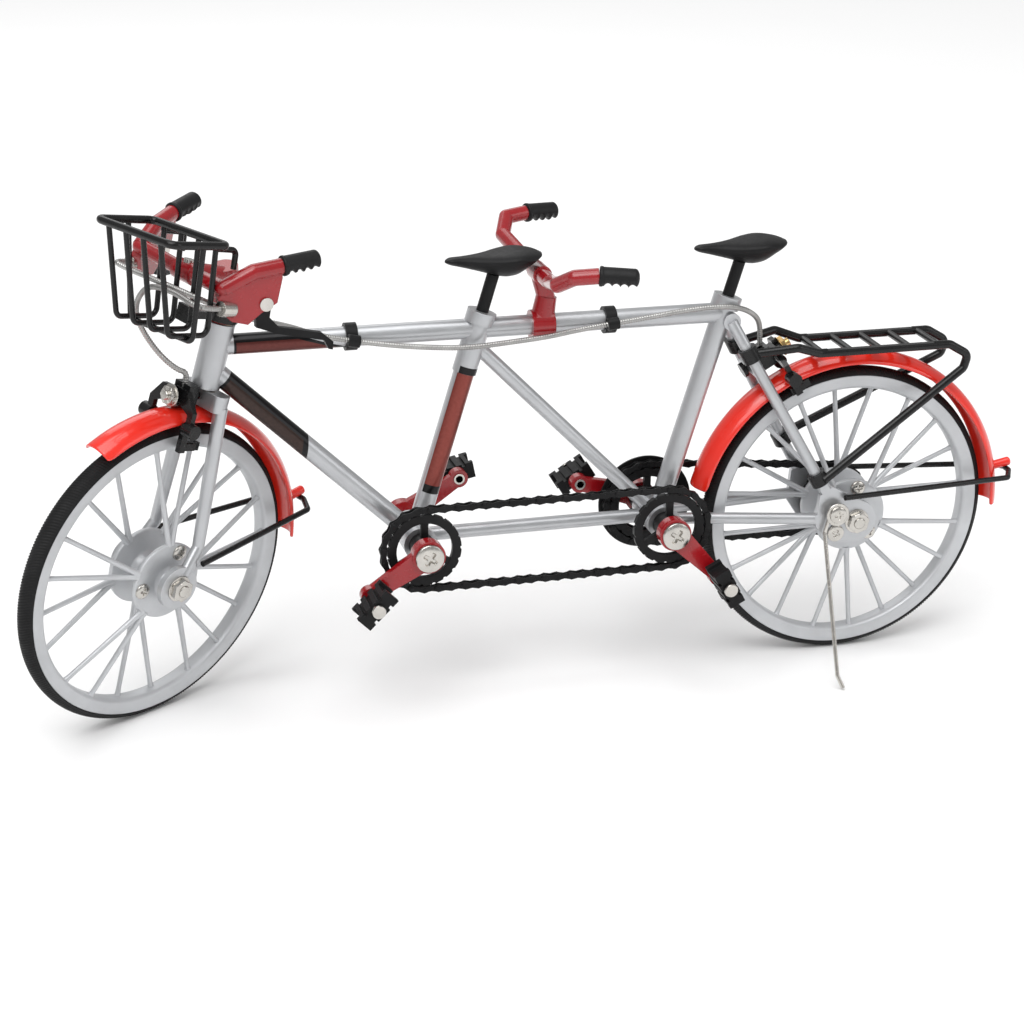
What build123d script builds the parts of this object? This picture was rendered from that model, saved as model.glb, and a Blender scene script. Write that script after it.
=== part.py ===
from build123d import *
import os
from math import atan2, cos, degrees, hypot, pi, radians, sin, tan

# Scale-model tandem bicycle, in millimetres.
# +X forward, +Y to the rider's left, +Z up; origin on the ground under the rear axle.

os.makedirs("parts", exist_ok=True)

# ---- driving dimensions -------------------------------------------------------------
wheel_radius = 33.0
crank_spacing_links = 56        # links in the timing chain that joins the two cranksets
chain_pitch = 2.9
front_crank_x = 97.3
crank_height = 35.45
top_tube_height = 80.0
seat_angle = 73.5               # degrees above the ground, both seat tubes
front_saddle_height = 91.6
rear_saddle_height = 91.3
head_x = 138.1                  # where the steering axis meets the top tube's height
head_angle = 74.5
steer_turn = 32.4               # how far the bars are turned to the left
fork_rake = 1.5

# clearances
running = 0.05                  # radial, shaft in its bush
gap = 0.3                       # between pieces that move past each other

# tubes, outer radii
main_tube = 2.1
seat_tube = 2.2
seat_sleeve = 2.55
thin_tube = 1.5
stay_tube = 1.25
elbow_ease = 0.03               # how far a cleared corner stands off its tube
elbow_bend = 3.0                # centre-line bend radius of the stays
head_tube = 3.0
head_tube_top = 4.9             # along the steering axis from the top tube's height
head_tube_bottom = -8.7
steerer = 1.7
bush_wall = 0.55
seatpost = 1.3
post_insert = 13.0

# wheels
tyre_half_width = 2.3
rim_outer = 31.35
rim_inner = 28.2
rim_half_width = 2.2
rim_well = 30.5
spoke_count = 20
spoke_root = 0.62
spoke_tip = 0.5
root_spread = 2.0               # degrees each side of a pair's middle, at the flange
flange_radius = 8.2
flange_inner = 3.4
flange_outer = 4.4
hub_barrel = 2.8
hub_end_radius = 2.4
hub_screw_circle = 6.35
axle = 1.2
dropout_in = 7.0                # inner face of a fork end or of the left frame end
dropout_thick = 1.3
drive_dropout_in = 8.4          # the drive side stands wider, to clear the chain
nut_flats = 4.3
nut_thick = 1.4
washer_thick = 0.25
end_radius = 4.6

brake_bolt = 0.9

# cranks and chains
crank_axle = 1.6
shell_radius = 3.6
shell_half = 5.6
crank_length = 14.5
crank_in = 10.6
crank_out = 13.2
timing_teeth = 19
drive_teeth = 20
sprocket_teeth = 17
chain_half_height = 0.8
chain_width = 1.6
ring_thick = 1.2
timing_plane = 8.5
drive_plane = -6.7
pedal_in = 14.0
pedal_out = 20.4
front_left_crank_angle = -31.5
rear_left_crank_angle = 226.0
rear_right_crank_angle = 15.9

# fenders
fender_radius = 36.8
fender_half_width = 3.8
fender_wall = 0.7
fender_drop = 2.0

peg_radius = 1.0
stay_wire = 0.62

# rack
rack_half = 5.7
rack_height = 71.2
rack_bar = 0.95
rack_front = 10.2
rack_back = -17.6
rack_bars = 5

# basket, in its own frame: X forward from the middle of the back rim, which hangs off centre
basket_spot = (17.0, 3.65, 23.76)
basket_tilt = (4.7, 1.8, 1.1)
basket_length = 14.0
basket_half = 10.7
basket_depth = 18.15
basket_floor_front = 8.65
basket_floor_back = -1.4
basket_floor_half = 8.9
basket_wire = 0.55
basket_rim_wire = 0.8
basket_wire_pitch = 4.9

cable = 0.6

# ---- values worked out from them ----------------------------------------------------
rear_axle_point = Vector(0, 0, wheel_radius)
rear_crank_x = front_crank_x - (crank_spacing_links - timing_teeth) / 2 * chain_pitch
front_crank = Vector(front_crank_x, 0, crank_height)
rear_crank = Vector(rear_crank_x, 0, crank_height)


def pitch_radius(teeth):
    return chain_pitch / (2 * sin(pi / teeth))


timing_pitch = pitch_radius(timing_teeth)
drive_pitch = pitch_radius(drive_teeth)
sprocket_pitch = pitch_radius(sprocket_teeth)
ring_clearance = chain_half_height + 0.12
bush_outer = crank_axle + running + bush_wall
steer_bush_outer = steerer + running + bush_wall

# The steering frame: its Z runs up the steering axis, its X points to the front of the fork.
steer_place = Location((head_x, 0, top_tube_height), (0, head_angle - 90, 0)) * Location((0, 0, 0), (0, 0, steer_turn))


def from_steering(point):
    """A point of the steering frame, in the bicycle's own frame."""
    return (steer_place * Location(point)).position


# The front wheel's centre stands where its leaning tyre just meets the ground.
lean = cos(radians(head_angle)) * sin(radians(steer_turn))
leaning_height = (wheel_radius - tyre_half_width) * (1 - lean ** 2) ** 0.5 + tyre_half_width
axis_height = sin(radians(head_angle))
rake_height = from_steering((fork_rake, 0, 0)).Z - top_tube_height
wheel_drop = (leaning_height - top_tube_height - rake_height) / axis_height
front_wheel_place = steer_place * Location((fork_rake, 0, wheel_drop))


# ---- helpers ------------------------------------------------------------------------
def rod(start, end, radius, end_radius=None):
    """A round bar, or a cone when end_radius is given, from one point to another."""
    a = Vector(start)
    b = Vector(end)
    place = Plane(origin=a, z_dir=b - a).location
    tip = radius if end_radius is None else end_radius
    if abs(tip - radius) < 1e-6:
        bar = Cylinder(radius, (b - a).length, align=(Align.CENTER, Align.CENTER, Align.MIN))
    else:
        bar = Cone(radius, tip, (b - a).length, align=(Align.CENTER, Align.CENTER, Align.MIN))
    return place * bar


def across(radius, y0, y1, x=0.0, z=0.0):
    """A round bar along Y from y0 to y1."""
    return rod((x, y0, z), (x, y1, z), radius)


def tube_across(outer, inner, y0, y1, x=0.0, z=0.0):
    """A ring or bush along Y."""
    over = 0.5
    return across(outer, y0, y1, x, z) - across(inner, y0 - over, y1 + over, x, z)


def bent_wire(points, radius, bends, closed=False):
    """A round wire along straight runs joined by tangent arcs."""
    path = FilletPolyline(*points, radius=bends, close=closed)
    section = Plane(origin=path @ 0, z_dir=path % 0) * Circle(radius)
    return sweep(section, path=path)


def widest_bends(points):
    """The largest arc that each corner of a route has room for."""
    spots = [Vector(p) for p in points]
    radii = []
    for before, corner, after in zip(spots, spots[1:], spots[2:]):
        first = corner - before
        second = after - corner
        turn = first.get_angle(second)
        shorter = min(first.length, second.length)
        radii.append(0.45 * shorter / tan(radians(turn / 2)))
    return radii


def held_cable(points, name):
    """A brake cable's housing: arcs as large as its route allows."""
    radii = widest_bends(points)
    tube = bent_wire(points, cable, radii)
    length = tube.volume / (pi * cable ** 2)
    print(name, "length", round(length, 1), "radii", [round(r, 1) for r in radii])
    return tube


def hexagon_nut(flats, bore, y0, y1):
    """A hexagon nut along Y with its hole."""
    body = extrude(Plane.XZ.offset(-y0) * RegularPolygon(flats / 2, 6, major_radius=False), -(y1 - y0))
    return body - across(bore, min(y0, y1) - 1, max(y0, y1) + 1)


def both_sides(shape):
    """The shape and its mirror image on the other side of the middle plane."""
    return [shape, mirror(shape, about=Plane.XZ)]


def group(*shapes):
    """Separate solids that share one node."""
    solids = []
    for shape in shapes:
        for item in shape if isinstance(shape, (list, tuple)) else [shape]:
            solids.extend(item.solids())
    return Compound(solids)


def save(shape, name):
    """One STEP file for each named piece."""
    whole = shape if isinstance(shape, Compound) else group(shape)
    export_step(whole, f"parts/{name}.step")


# ---- wheels -------------------------------------------------------------------------
def tyre():
    """Half-round tread on a foot that sits in the rim's well."""
    shoulder = rim_outer + 0.07
    foot = rim_well + 0.05
    foot_half = rim_half_width - 0.65
    tread = ThreePointArc((shoulder, tyre_half_width), (wheel_radius, 0), (shoulder, -tyre_half_width))
    inside = Polyline(
        (shoulder, -tyre_half_width), (shoulder, -foot_half), (foot, -foot_half + 0.1),
        (foot, foot_half - 0.1), (shoulder, foot_half), (shoulder, tyre_half_width),
    )
    return revolve(make_face([tread, inside]), Axis.Y, 360)


def rim():
    """Deep-walled rim with a well for the tyre."""
    wall = rim_half_width - 0.55
    outline = Polyline(
        (rim_outer, rim_half_width), (rim_inner + 0.5, rim_half_width - 0.2), (rim_inner, rim_half_width - 1.0),
        (rim_inner, -rim_half_width + 1.0), (rim_inner + 0.5, -rim_half_width + 0.2), (rim_outer, -rim_half_width),
        (rim_outer, -wall), (rim_well, -wall + 0.1), (rim_well, wall - 0.1), (rim_outer, wall),
        close=True,
    )
    return revolve(make_face(outline), Axis.Y, 360)


def hub(right_end):
    """Barrel with two spoke flanges; right_end is how far it reaches to the right."""
    left_end = dropout_in - gap
    outline = Polyline(
        (axle + running, left_end), (hub_end_radius, left_end), (hub_end_radius, flange_outer),
        (flange_radius, flange_outer), (flange_radius, flange_inner), (hub_barrel, flange_inner - 0.6),
        (hub_barrel, -flange_inner + 0.6), (flange_radius, -flange_inner), (flange_radius, -flange_outer),
        (hub_end_radius, -flange_outer), (hub_end_radius, -right_end), (axle + running, -right_end),
        close=True,
    )
    body = revolve(make_face(outline), Axis.Y, 360)
    for x, z in hub_screw_spots():
        body -= across(0.7, flange_inner - 2, flange_outer + 1, x, z)
    return body


def hub_screw_spots():
    """Three screws, evenly round the hub."""
    angles = [radians(103 + 120 * k) for k in range(3)]
    return [(hub_screw_circle * cos(a), hub_screw_circle * sin(a)) for a in angles]


def hub_screws():
    """Domed heads with their shanks in the left flange."""
    screws = []
    for x, z in hub_screw_spots():
        head = across(1.65, flange_outer, flange_outer + 0.7, x, z)
        screws.append(head + across(0.7, flange_inner, flange_outer, x, z))
    return screws


def spokes(phase):
    """Tapered spokes in pairs that spread from one root to the rim; every second pair is on the other flange."""
    pairs = []
    middle = (flange_inner + flange_outer) / 2 - 0.15
    for k in range(spoke_count // 2):
        centre = phase + k * 720 / spoke_count
        side = 1 if k % 2 == 0 else -1
        bars = []
        for way in (-1, 1):
            low = radians(centre + way * root_spread)
            high = radians(centre + way * 180 / spoke_count)
            root = ((flange_radius - 0.6) * cos(low), side * middle, (flange_radius - 0.6) * sin(low))
            tip = ((rim_inner + 0.4) * cos(high), side * 0.7, (rim_inner + 0.4) * sin(high))
            bars.append(rod(root, tip, spoke_root, spoke_tip))
        pairs.append(bars[0] + bars[1])
    return pairs


def save_wheel(prefix, place, right_end, phase):
    """Tyre, rim, spokes, hub and hub screws of one wheel."""
    save(group(place * tyre()), prefix + "_tyre")
    save(group(place * rim()), prefix + "_rim")
    save(group([place * s for s in spokes(phase)]), prefix + "_spokes")
    save(group(place * hub(right_end)), prefix + "_hub")
    save(group([place * s for s in hub_screws()]), prefix + "_hub_screws")


def axle_set(place, left_face, right_face):
    """Threaded axle with a washer and a nut outside each end plate."""
    left_nut = left_face + washer_thick
    right_nut = right_face + washer_thick
    stub = 0.25
    bar = across(axle, -(right_nut + nut_thick + stub), left_nut + nut_thick + stub)
    pieces = [
        bar,
        tube_across(2.75, axle, left_face, left_nut),
        tube_across(2.75, axle, -right_nut, -right_face),
        hexagon_nut(nut_flats, axle, left_nut, left_nut + nut_thick),
        hexagon_nut(nut_flats, axle, -right_nut - nut_thick, -right_nut),
    ]
    return group([place * p for p in pieces])


# ---- frame --------------------------------------------------------------------------
def on_seat_tube(bracket, height):
    """The point of a seat tube's centre line at a height above the ground."""
    run = (height - bracket.Z) / tan(radians(seat_angle))
    return Vector(bracket.X - run, 0, height)


seat_tube_top = top_tube_height + 3.6
front_seat_top = on_seat_tube(front_crank, seat_tube_top)
rear_seat_top = on_seat_tube(rear_crank, seat_tube_top)
front_cluster = on_seat_tube(front_crank, top_tube_height)
rear_cluster = on_seat_tube(rear_crank, top_tube_height)


def on_head(distance):
    """A point of the steering axis, measured up from the top tube's height."""
    return from_steering((0, 0, distance))


left_end = Vector(0, dropout_in + dropout_thick / 2, wheel_radius)
right_end_point = Vector(0, -(drive_dropout_in + dropout_thick / 2), wheel_radius)
stay_top = Vector(rear_cluster.X - 1.2, 2.6, top_tube_height - 1.5)
stay_shoulder = Vector(26.8, 4.1, 73.8)
bridge_height = 67.5
kick_pivot = Vector(5.4, 0, 35.6)


def stay_line(side):
    """A seat stay's corners from the axle up; the drive side stands out past the chain first."""
    y_end = left_end.Y if side > 0 else -right_end_point.Y
    foot = Vector(7.6, y_end, wheel_radius + 7.4)
    above_chain = foot + (stay_shoulder - foot) * 0.2
    if side < 0:
        above_chain = Vector(above_chain.X, y_end - 0.1, above_chain.Z)
    return [Vector(p.X, side * p.Y, p.Z) for p in (foot, above_chain, stay_shoulder, stay_top)]


def stay_spot(side, height):
    """The centre of a seat stay at a height, and the direction it runs there."""
    line = stay_line(side)
    for low, high in zip(line, line[1:]):
        if height <= high.Z:
            break
    share = (height - low.Z) / (high.Z - low.Z)
    return low + (high - low) * share, (high - low).normalized()


def stay_pair(side):
    """One seat stay and one chain stay, with the plate that joins them at the axle."""
    end = left_end if side > 0 else right_end_point
    line = stay_line(side)
    corners = [line[0], *line[2:]] if side > 0 else line
    stays = bent_wire(corners, stay_tube, [elbow_bend] * (len(corners) - 2))
    bend = (rear_crank.X - 10.9, side * 4.15, crank_height - 0.4)
    stays += bent_wire(
        [(rear_crank.X - 2.0, side * 3.3, crank_height), bend, (8.4, end.Y, wheel_radius + 1.0)],
        stay_tube, [elbow_bend])
    y0 = end.Y - dropout_thick / 2
    flush = Pos(3.0, y0 + side * 5 + (dropout_thick if side > 0 else 0), wheel_radius) * Box(14, 10, 21)
    stays -= flush
    plate = Plane.XZ.offset(-y0) * make_face(Polyline(
        (-1.5, wheel_radius + 4.3), (6.2, wheel_radius + 8.4), (9.0, wheel_radius + 6.6),
        (9.6, wheel_radius - 0.4), (6.8, wheel_radius - 4.6), (-1.0, wheel_radius - 4.5), close=True))
    end_plate = extrude(plate, -dropout_thick)
    end_plate += across(end_radius, y0, y0 + dropout_thick, 0, wheel_radius)
    return stays + end_plate


rear_brake_place = Location((20.6, 0, 69.4), (0, 30, 0))


def main_frame():
    """All the welded tubes, with bores for the steerer, the posts and the crank bushes."""
    frame = rod(on_head(head_tube_bottom), on_head(head_tube_top), head_tube)
    frame += rod(rear_cluster, on_head(0), main_tube)
    frame += rod(on_head(-4.6), front_crank, main_tube)
    frame += rod(front_crank, front_seat_top, seat_tube)
    frame += rod(on_seat_tube(front_crank, 70.8), front_seat_top, seat_sleeve)
    frame += rod(rear_crank, rear_seat_top, seat_tube)
    frame += rod(on_seat_tube(front_crank, 77.0), rear_crank, thin_tube)
    frame += rod(front_crank, rear_crank, thin_tube)
    for bracket in (front_crank, rear_crank):
        frame += across(shell_radius, -shell_half, shell_half, bracket.X, bracket.Z)
    for side in (1, -1):
        frame += stay_pair(side)
    frame += rod(stay_spot(1, bridge_height)[0], stay_spot(-1, bridge_height)[0], 1.3)
    frame += rod((stay_top.X, -3.0, stay_top.Z), (stay_top.X, 3.0, stay_top.Z), 1.9)
    # bores
    frame -= rod(on_head(head_tube_bottom - 1), on_head(head_tube_top + 1), steer_bush_outer)
    for top in (front_seat_top, rear_seat_top):
        slope = Vector(cos(radians(seat_angle)), 0, -sin(radians(seat_angle)))
        frame -= rod(top - slope, top + slope * (post_insert + 5), seatpost + running)
    for bracket in (front_crank, rear_crank):
        frame -= across(bush_outer, -shell_half - 1, shell_half + 1, bracket.X, bracket.Z)
    frame -= across(axle, -20, 20, 0, wheel_radius)
    frame -= rear_brake_place * rod((-2, 0, 0), (9, 0, 0), brake_bolt)
    frame -= across(0.8, dropout_in - 1, dropout_in + 3, kick_pivot.X, kick_pivot.Z)
    return frame


def bearing_bushes():
    """Two bushes in each bottom bracket and two in the head tube."""
    bushes = []
    for bracket in (front_crank, rear_crank):
        for y0, y1 in ((-shell_half, -shell_half + 3), (shell_half - 3, shell_half)):
            bushes.append(tube_across(bush_outer, crank_axle + running, y0, y1, bracket.X, bracket.Z))
    for low, high in ((head_tube_bottom, head_tube_bottom + 3), (head_tube_top - 3, head_tube_top)):
        bush = rod(on_head(low), on_head(high), steer_bush_outer)
        bushes.append(bush - rod(on_head(low - 1), on_head(high + 1), steerer + running))
    return group(bushes)


collar_outer = 3.1
collar_height = 2.6


def seat_collars():
    """Split clamp rings round the tops of the seat tubes, each with a cross bolt."""
    pieces = []
    slope = Vector(-cos(radians(seat_angle)), 0, sin(radians(seat_angle)))
    for top, hold in ((front_seat_top, seat_sleeve), (rear_seat_top, seat_tube)):
        low = top - slope * collar_height
        ring = rod(low, top, collar_outer) - rod(low - slope, top + slope, hold)
        pieces.append(ring - rod(rear_cluster - Vector(4, 0, 0), on_head(0), main_tube))
        spot = (low + top) * 0.5
        head = rod(spot, spot - Vector(0, collar_outer + 0.9, 0), 1.2)
        pieces.append(head - rod(low - slope, top + slope, collar_outer))
    return group(pieces)


# ---- cranks, chains and pedals ------------------------------------------------------
def chain_ring(teeth, y_middle, arms, boss):
    """Toothed ring on three arms with a boss, round the Y axis."""
    outer = pitch_radius(teeth) - ring_clearance
    y0 = y_middle - ring_thick / 2
    y1 = y_middle + ring_thick / 2
    ring = tube_across(outer, outer - 1.9, y0, y1)
    for k in range(arms):
        a = 90 + k * 360 / arms
        arm = Box(outer - 1.2, ring_thick * 0.8, 1.5, align=(Align.MIN, Align.CENTER, Align.CENTER))
        ring += Location((0, y_middle, 0)) * (Rotation(0, -a, 0) * arm)
    for k in range(teeth):
        a = radians((k + 0.5) * 360 / teeth)
        ring -= across(0.42, y0 - 1, y1 + 1, (outer + 0.1) * cos(a), (outer + 0.1) * sin(a))
    ring += across(boss, y0, y1)
    return ring


def chain_loop(front, front_pitch, rear, rear_pitch, y_middle):
    """A closed chain: the band between two hulls of circles round its sprockets."""
    def hull(grow):
        circles = Location((front.X, front.Z)) * Circle(front_pitch + grow)
        circles += Location((rear.X, rear.Z)) * Circle(rear_pitch + grow)
        return make_hull(circles.edges())
    flat = hull(chain_half_height) - hull(-chain_half_height)
    return extrude(Plane.XZ.offset(-(y_middle - chain_width / 2)) * flat, -chain_width)


def crank_arm(side, angle):
    """Tapered crank with a round boss at each end."""
    y_in = side * crank_in
    y_out = side * crank_out
    tip = (crank_length * cos(radians(angle)), crank_length * sin(radians(angle)))
    arm_in = side * (crank_in + 0.5)
    body = across(3.5, y_in, y_out)
    body += across(2.0, arm_in, y_out, tip[0], tip[1])
    hull = make_hull((Circle(2.6) + Location((crank_length, 0)) * Circle(1.5)).edges())
    web = extrude(Plane.XZ * hull, -(crank_out - crank_in - 0.9))
    web = Rotation(0, -angle, 0) * web
    body += Location((0, min(arm_in, y_out - side * 0.4), 0)) * web
    body -= across(crank_axle, -30, 30)
    body -= across(0.8, min(y_in, y_out) - 1, max(y_in, y_out) + 1, tip[0], tip[1])
    return body


def crank_fasteners(angles):
    """The big end screws and the pedal pins, whose heads hold the pedals on."""
    pieces = []
    for side, angle in zip((1, -1), angles):
        tip = (crank_length * cos(radians(angle)), crank_length * sin(radians(angle)))
        pieces.append(across(3.0, side * crank_out, side * (crank_out + 1.1)))
        pin = across(0.8, side * (crank_in + 0.1), side * (pedal_out + gap), tip[0], tip[1])
        pin += across(1.5, side * (pedal_out + gap), side * (pedal_out + gap + 0.8), tip[0], tip[1])
        pin += across(1.2, side * (crank_in + 0.1), side * (crank_in + 0.5), tip[0], tip[1])
        pieces.append(pin)
    return pieces


def pedal(tilt):
    """Block with four lugs each side and a bore for its pin."""
    length = 8.4
    thick = 3.6
    depth = pedal_out - pedal_in
    body = Box(length, depth, thick)
    for x in (-2.1, 0, 2.1):
        for z in (-1, 1):
            body -= Location((x, 0, z * thick / 2)) * Box(0.8, depth + 1, 1.3)
    for x in (-1, 1):
        body -= Location((x * length / 2, 0, 0)) * Box(1.6, depth - 2.4, thick + 1)
    body = Rotation(0, -tilt, 0) * body
    return body - across(0.8 + running, -depth, depth)


def pedal_place(bracket, side, angle):
    """Where the pedal's middle lies."""
    tip_x = bracket.X + crank_length * cos(radians(angle))
    tip_z = bracket.Z + crank_length * sin(radians(angle))
    return Location((tip_x, side * (pedal_in + pedal_out) / 2, tip_z))


def save_cranks():
    """Both cranksets, both chains and the four pedals."""
    rear_angles = (rear_left_crank_angle, rear_right_crank_angle)
    front_angles = (front_left_crank_angle, front_left_crank_angle + 180)
    for name, bracket, angles in (("front", front_crank, front_angles), ("rear", rear_crank, rear_angles)):
        place = Location(bracket)
        save(group(place * across(crank_axle, -crank_out, crank_out)), name + "_crank_axle")
        arms = [place * crank_arm(side, angle) for side, angle in zip((1, -1), angles)]
        save(group(arms), name + "_crank_arms")
        save(group([place * p for p in crank_fasteners(angles)]), name + "_crank_screws")
        ring = chain_ring(timing_teeth, timing_plane, 3, 2.7)
        ring += across(2.7, shell_half + gap, crank_in)
        ring -= across(crank_axle, 0, 30)
        save(group(place * ring), name + "_timing_ring")
    drive = chain_ring(drive_teeth, drive_plane, 3, 2.7)
    drive += tube_across(2.7, crank_axle, -crank_in, -shell_half - gap)
    guard_in = drive_plane - ring_thick / 2 - 0.9
    drive += tube_across(drive_pitch + 1.3, drive_pitch - 3.2, guard_in, guard_in + 0.5)
    for k in range(3):
        a = radians(90 + 120 * k)
        x = (drive_pitch - 2.2) * cos(a)
        z = (drive_pitch - 2.2) * sin(a)
        drive += across(0.7, guard_in, drive_plane, x, z)
    drive -= across(crank_axle, -30, 0)
    save(group(Location(rear_crank) * drive), "drive_ring")
    sprocket = chain_ring(sprocket_teeth, drive_plane, 6, hub_end_radius + 1.6)
    sprocket += across(hub_end_radius + 1.6, drive_plane, -flange_outer)
    sprocket -= across(hub_end_radius, -30, 0)
    save(group(Location(rear_axle_point) * sprocket), "rear_sprocket")
    save(chain_loop(front_crank, timing_pitch, rear_crank, timing_pitch, timing_plane), "timing_chain")
    save(chain_loop(rear_crank, drive_pitch, rear_axle_point, sprocket_pitch, drive_plane), "drive_chain")
    tilts = {"front_left_pedal": 135, "front_right_pedal": 168, "rear_left_pedal": 62, "rear_right_pedal": 148}
    spots = {
        "front_left_pedal": (front_crank, 1, front_angles[0]), "front_right_pedal": (front_crank, -1, front_angles[1]),
        "rear_left_pedal": (rear_crank, 1, rear_angles[0]), "rear_right_pedal": (rear_crank, -1, rear_angles[1]),
    }
    for name, (bracket, side, angle) in spots.items():
        save(group(pedal_place(bracket, side, angle) * pedal(tilts[name])), name)


# ---- saddles ------------------------------------------------------------------------
saddle_tail = -10.0             # from the post's top
saddle_nose = 10.3
saddle_width = 11.6


def saddle(top):
    """Teardrop seat, thick over its post and thin at the nose; the tail rises over the bar behind."""
    outline = make_hull((
        Location((saddle_tail + 6.0, 0)) * Ellipse(6.0, saddle_width / 2)
        + Location((saddle_nose - 1.7, 0)) * Circle(1.7)).edges())
    block = Pos(0, 0, -3) * extrude(outline, 12)
    side_view = make_face(Polyline(
        (saddle_tail, 4.2), (-4.5, 4.7), (1.5, 3.9), (saddle_nose, 3.5), (saddle_nose, 1.9), (2.4, 0.2),
        (-2.5, -1.1), (-5.0, -1.1), (-7.4, 1.2), (saddle_tail, 3.0), close=True))
    return Location(top) * (block & extrude(Plane.XZ.offset(-20) * side_view, 40))


def save_seats():
    """Saddles and their posts."""
    slope = Vector(-cos(radians(seat_angle)), 0, sin(radians(seat_angle)))
    for name, tube_top, height in (("front", front_seat_top, front_saddle_height), ("rear", rear_seat_top, rear_saddle_height)):
        top = tube_top + slope * ((height - tube_top.Z) / slope.Z)
        post = rod(tube_top - slope * post_insert, top, seatpost)
        seat = saddle(top)
        save(group(post - seat), name + "_seatpost")
        save(group(seat), name + "_saddle")


# ---- fenders, stays and rack --------------------------------------------------------
def fender_shell(start, sweep_angle):
    """Arched channel over a wheel, turned about the Y axis through the wheel's centre."""
    edge = fender_radius - fender_drop
    outer = ThreePointArc((edge, -fender_half_width), (fender_radius, 0), (edge, fender_half_width))
    inner = ThreePointArc(
        (edge - 0.2, fender_half_width - fender_wall), (fender_radius - fender_wall, 0),
        (edge - 0.2, -fender_half_width + fender_wall))
    face = make_face([
        outer, Line(outer @ 1, inner @ 0), inner, Line(inner @ 1, outer @ 0)])
    shell = revolve(face, Axis.Y, sweep_angle)
    return Rotation(0, -start, 0) * (Rotation(0, -sweep_angle, 0) * shell)


def fender_peg(angle):
    """Lug on the fender's back, with a cross hole's width for the stay's hook."""
    base = fender_radius - 0.5
    top = base + 4.8
    a = radians(angle)
    return rod((base * cos(a), 0, base * sin(a)), (top * cos(a), 0, top * sin(a)), peg_radius)


front_fender_start = 50.0
front_fender_end = 168.0
rear_fender_start = 13.0
rear_fender_end = 182.0
front_peg_angle = 155.5
rear_peg_angle = 169.0


def fender(start, end, peg_angle):
    return fender_shell(start, end - start) + fender_peg(peg_angle)


def fender_stays(peg_angle, left_foot, right_foot):
    """One wire from end plate to end plate that passes over the fender's peg."""
    a = radians(peg_angle)
    out = peg_radius + stay_wire + 0.02
    over = Vector(-sin(a), 0, cos(a)) * out
    outward = Vector(cos(a), 0, sin(a))
    edge = outward * (fender_radius + 1.2) + over
    back = outward * (fender_radius + 3.2) + over
    side = Vector(0, fender_half_width + stay_wire + 0.4, 0)
    pin = Vector(0, 1.2, 0)
    points = [left_foot, edge + side, back + pin, back - pin, edge - side, right_foot]
    return bent_wire(points, stay_wire, [0.9, 0.9, 0.9, 0.9])


def rack_side(side):
    """One rail: from its clamp on the stay over the deck, down behind it and back to the lower clamp."""
    lower = wheel_radius + (10.4 if side > 0 else 14.6)
    clamp, way = stay_spot(side, 71.6)
    low_clamp, low_way = stay_spot(side, lower)
    foot = low_clamp + Vector(-0.6, side * (stay_tube + 0.4), 0)
    points = [
        clamp, (15.6, side * 6.9, rack_height + 1.9), (rack_front, side * rack_half, rack_height),
        (rack_back - 2.5, side * rack_half, rack_height), (rack_back - 7.0, side * rack_half, rack_height - 2.6),
        (rack_back - 6.2, side * rack_half, rack_height - 5.6), foot,
    ]
    rail = bent_wire(points, rack_bar, [1.5, 3.0, 2.0, 1.6, 1.6])
    rail += rod(clamp - way * 1.6, clamp + way * 1.6, 2.0)
    rail += rod(low_clamp - low_way * 1.4, low_clamp + low_way * 1.4, 2.1)
    line = stay_line(side)
    for low, high in zip(line, line[1:]):
        rail -= rod(low, high, stay_tube)
    for corner in line[1:3]:
        rail -= Location(corner) * Sphere(stay_tube + elbow_ease + 0.02)
    return rail


def rear_rack():
    """Two rails with straight cross bars, flat on top of the deck."""
    parts = rack_side(1) + rack_side(-1)
    pitch = (rack_front - rack_back - 0.8) / (rack_bars - 1)
    for k in range(rack_bars):
        x = rack_front - 0.6 - k * pitch
        parts += rod((x, -rack_half, rack_height), (x, rack_half, rack_height), 0.75)
    deck_flat = rack_height + 0.7
    parts -= Pos(-4, 0, deck_flat + 2) * Box(25, 30, 4)
    return parts


# ---- brakes -------------------------------------------------------------------------
brake_arm_in = 4.4
shoe_gap = 0.45


def brake_bracket(back, front):
    """Block with its pivot bolt, in a caliper's own frame: X is the bolt, Z points away from the wheel."""
    block = Pos((back + front) / 2, 0, 0.4) * Box(front - back, 4.6, 4.4)
    block -= rod((back - 1, 0, 0), (front + 1, 0, 0), brake_bolt)
    return block


def pivot_bolt(start, end):
    """The bolt both brake arms turn on, with a round head."""
    return rod((start, 0, 0), (end, 0, 0), brake_bolt) + rod((end, 0, 0), (end + 0.9, 0, 0), 1.7)


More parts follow.
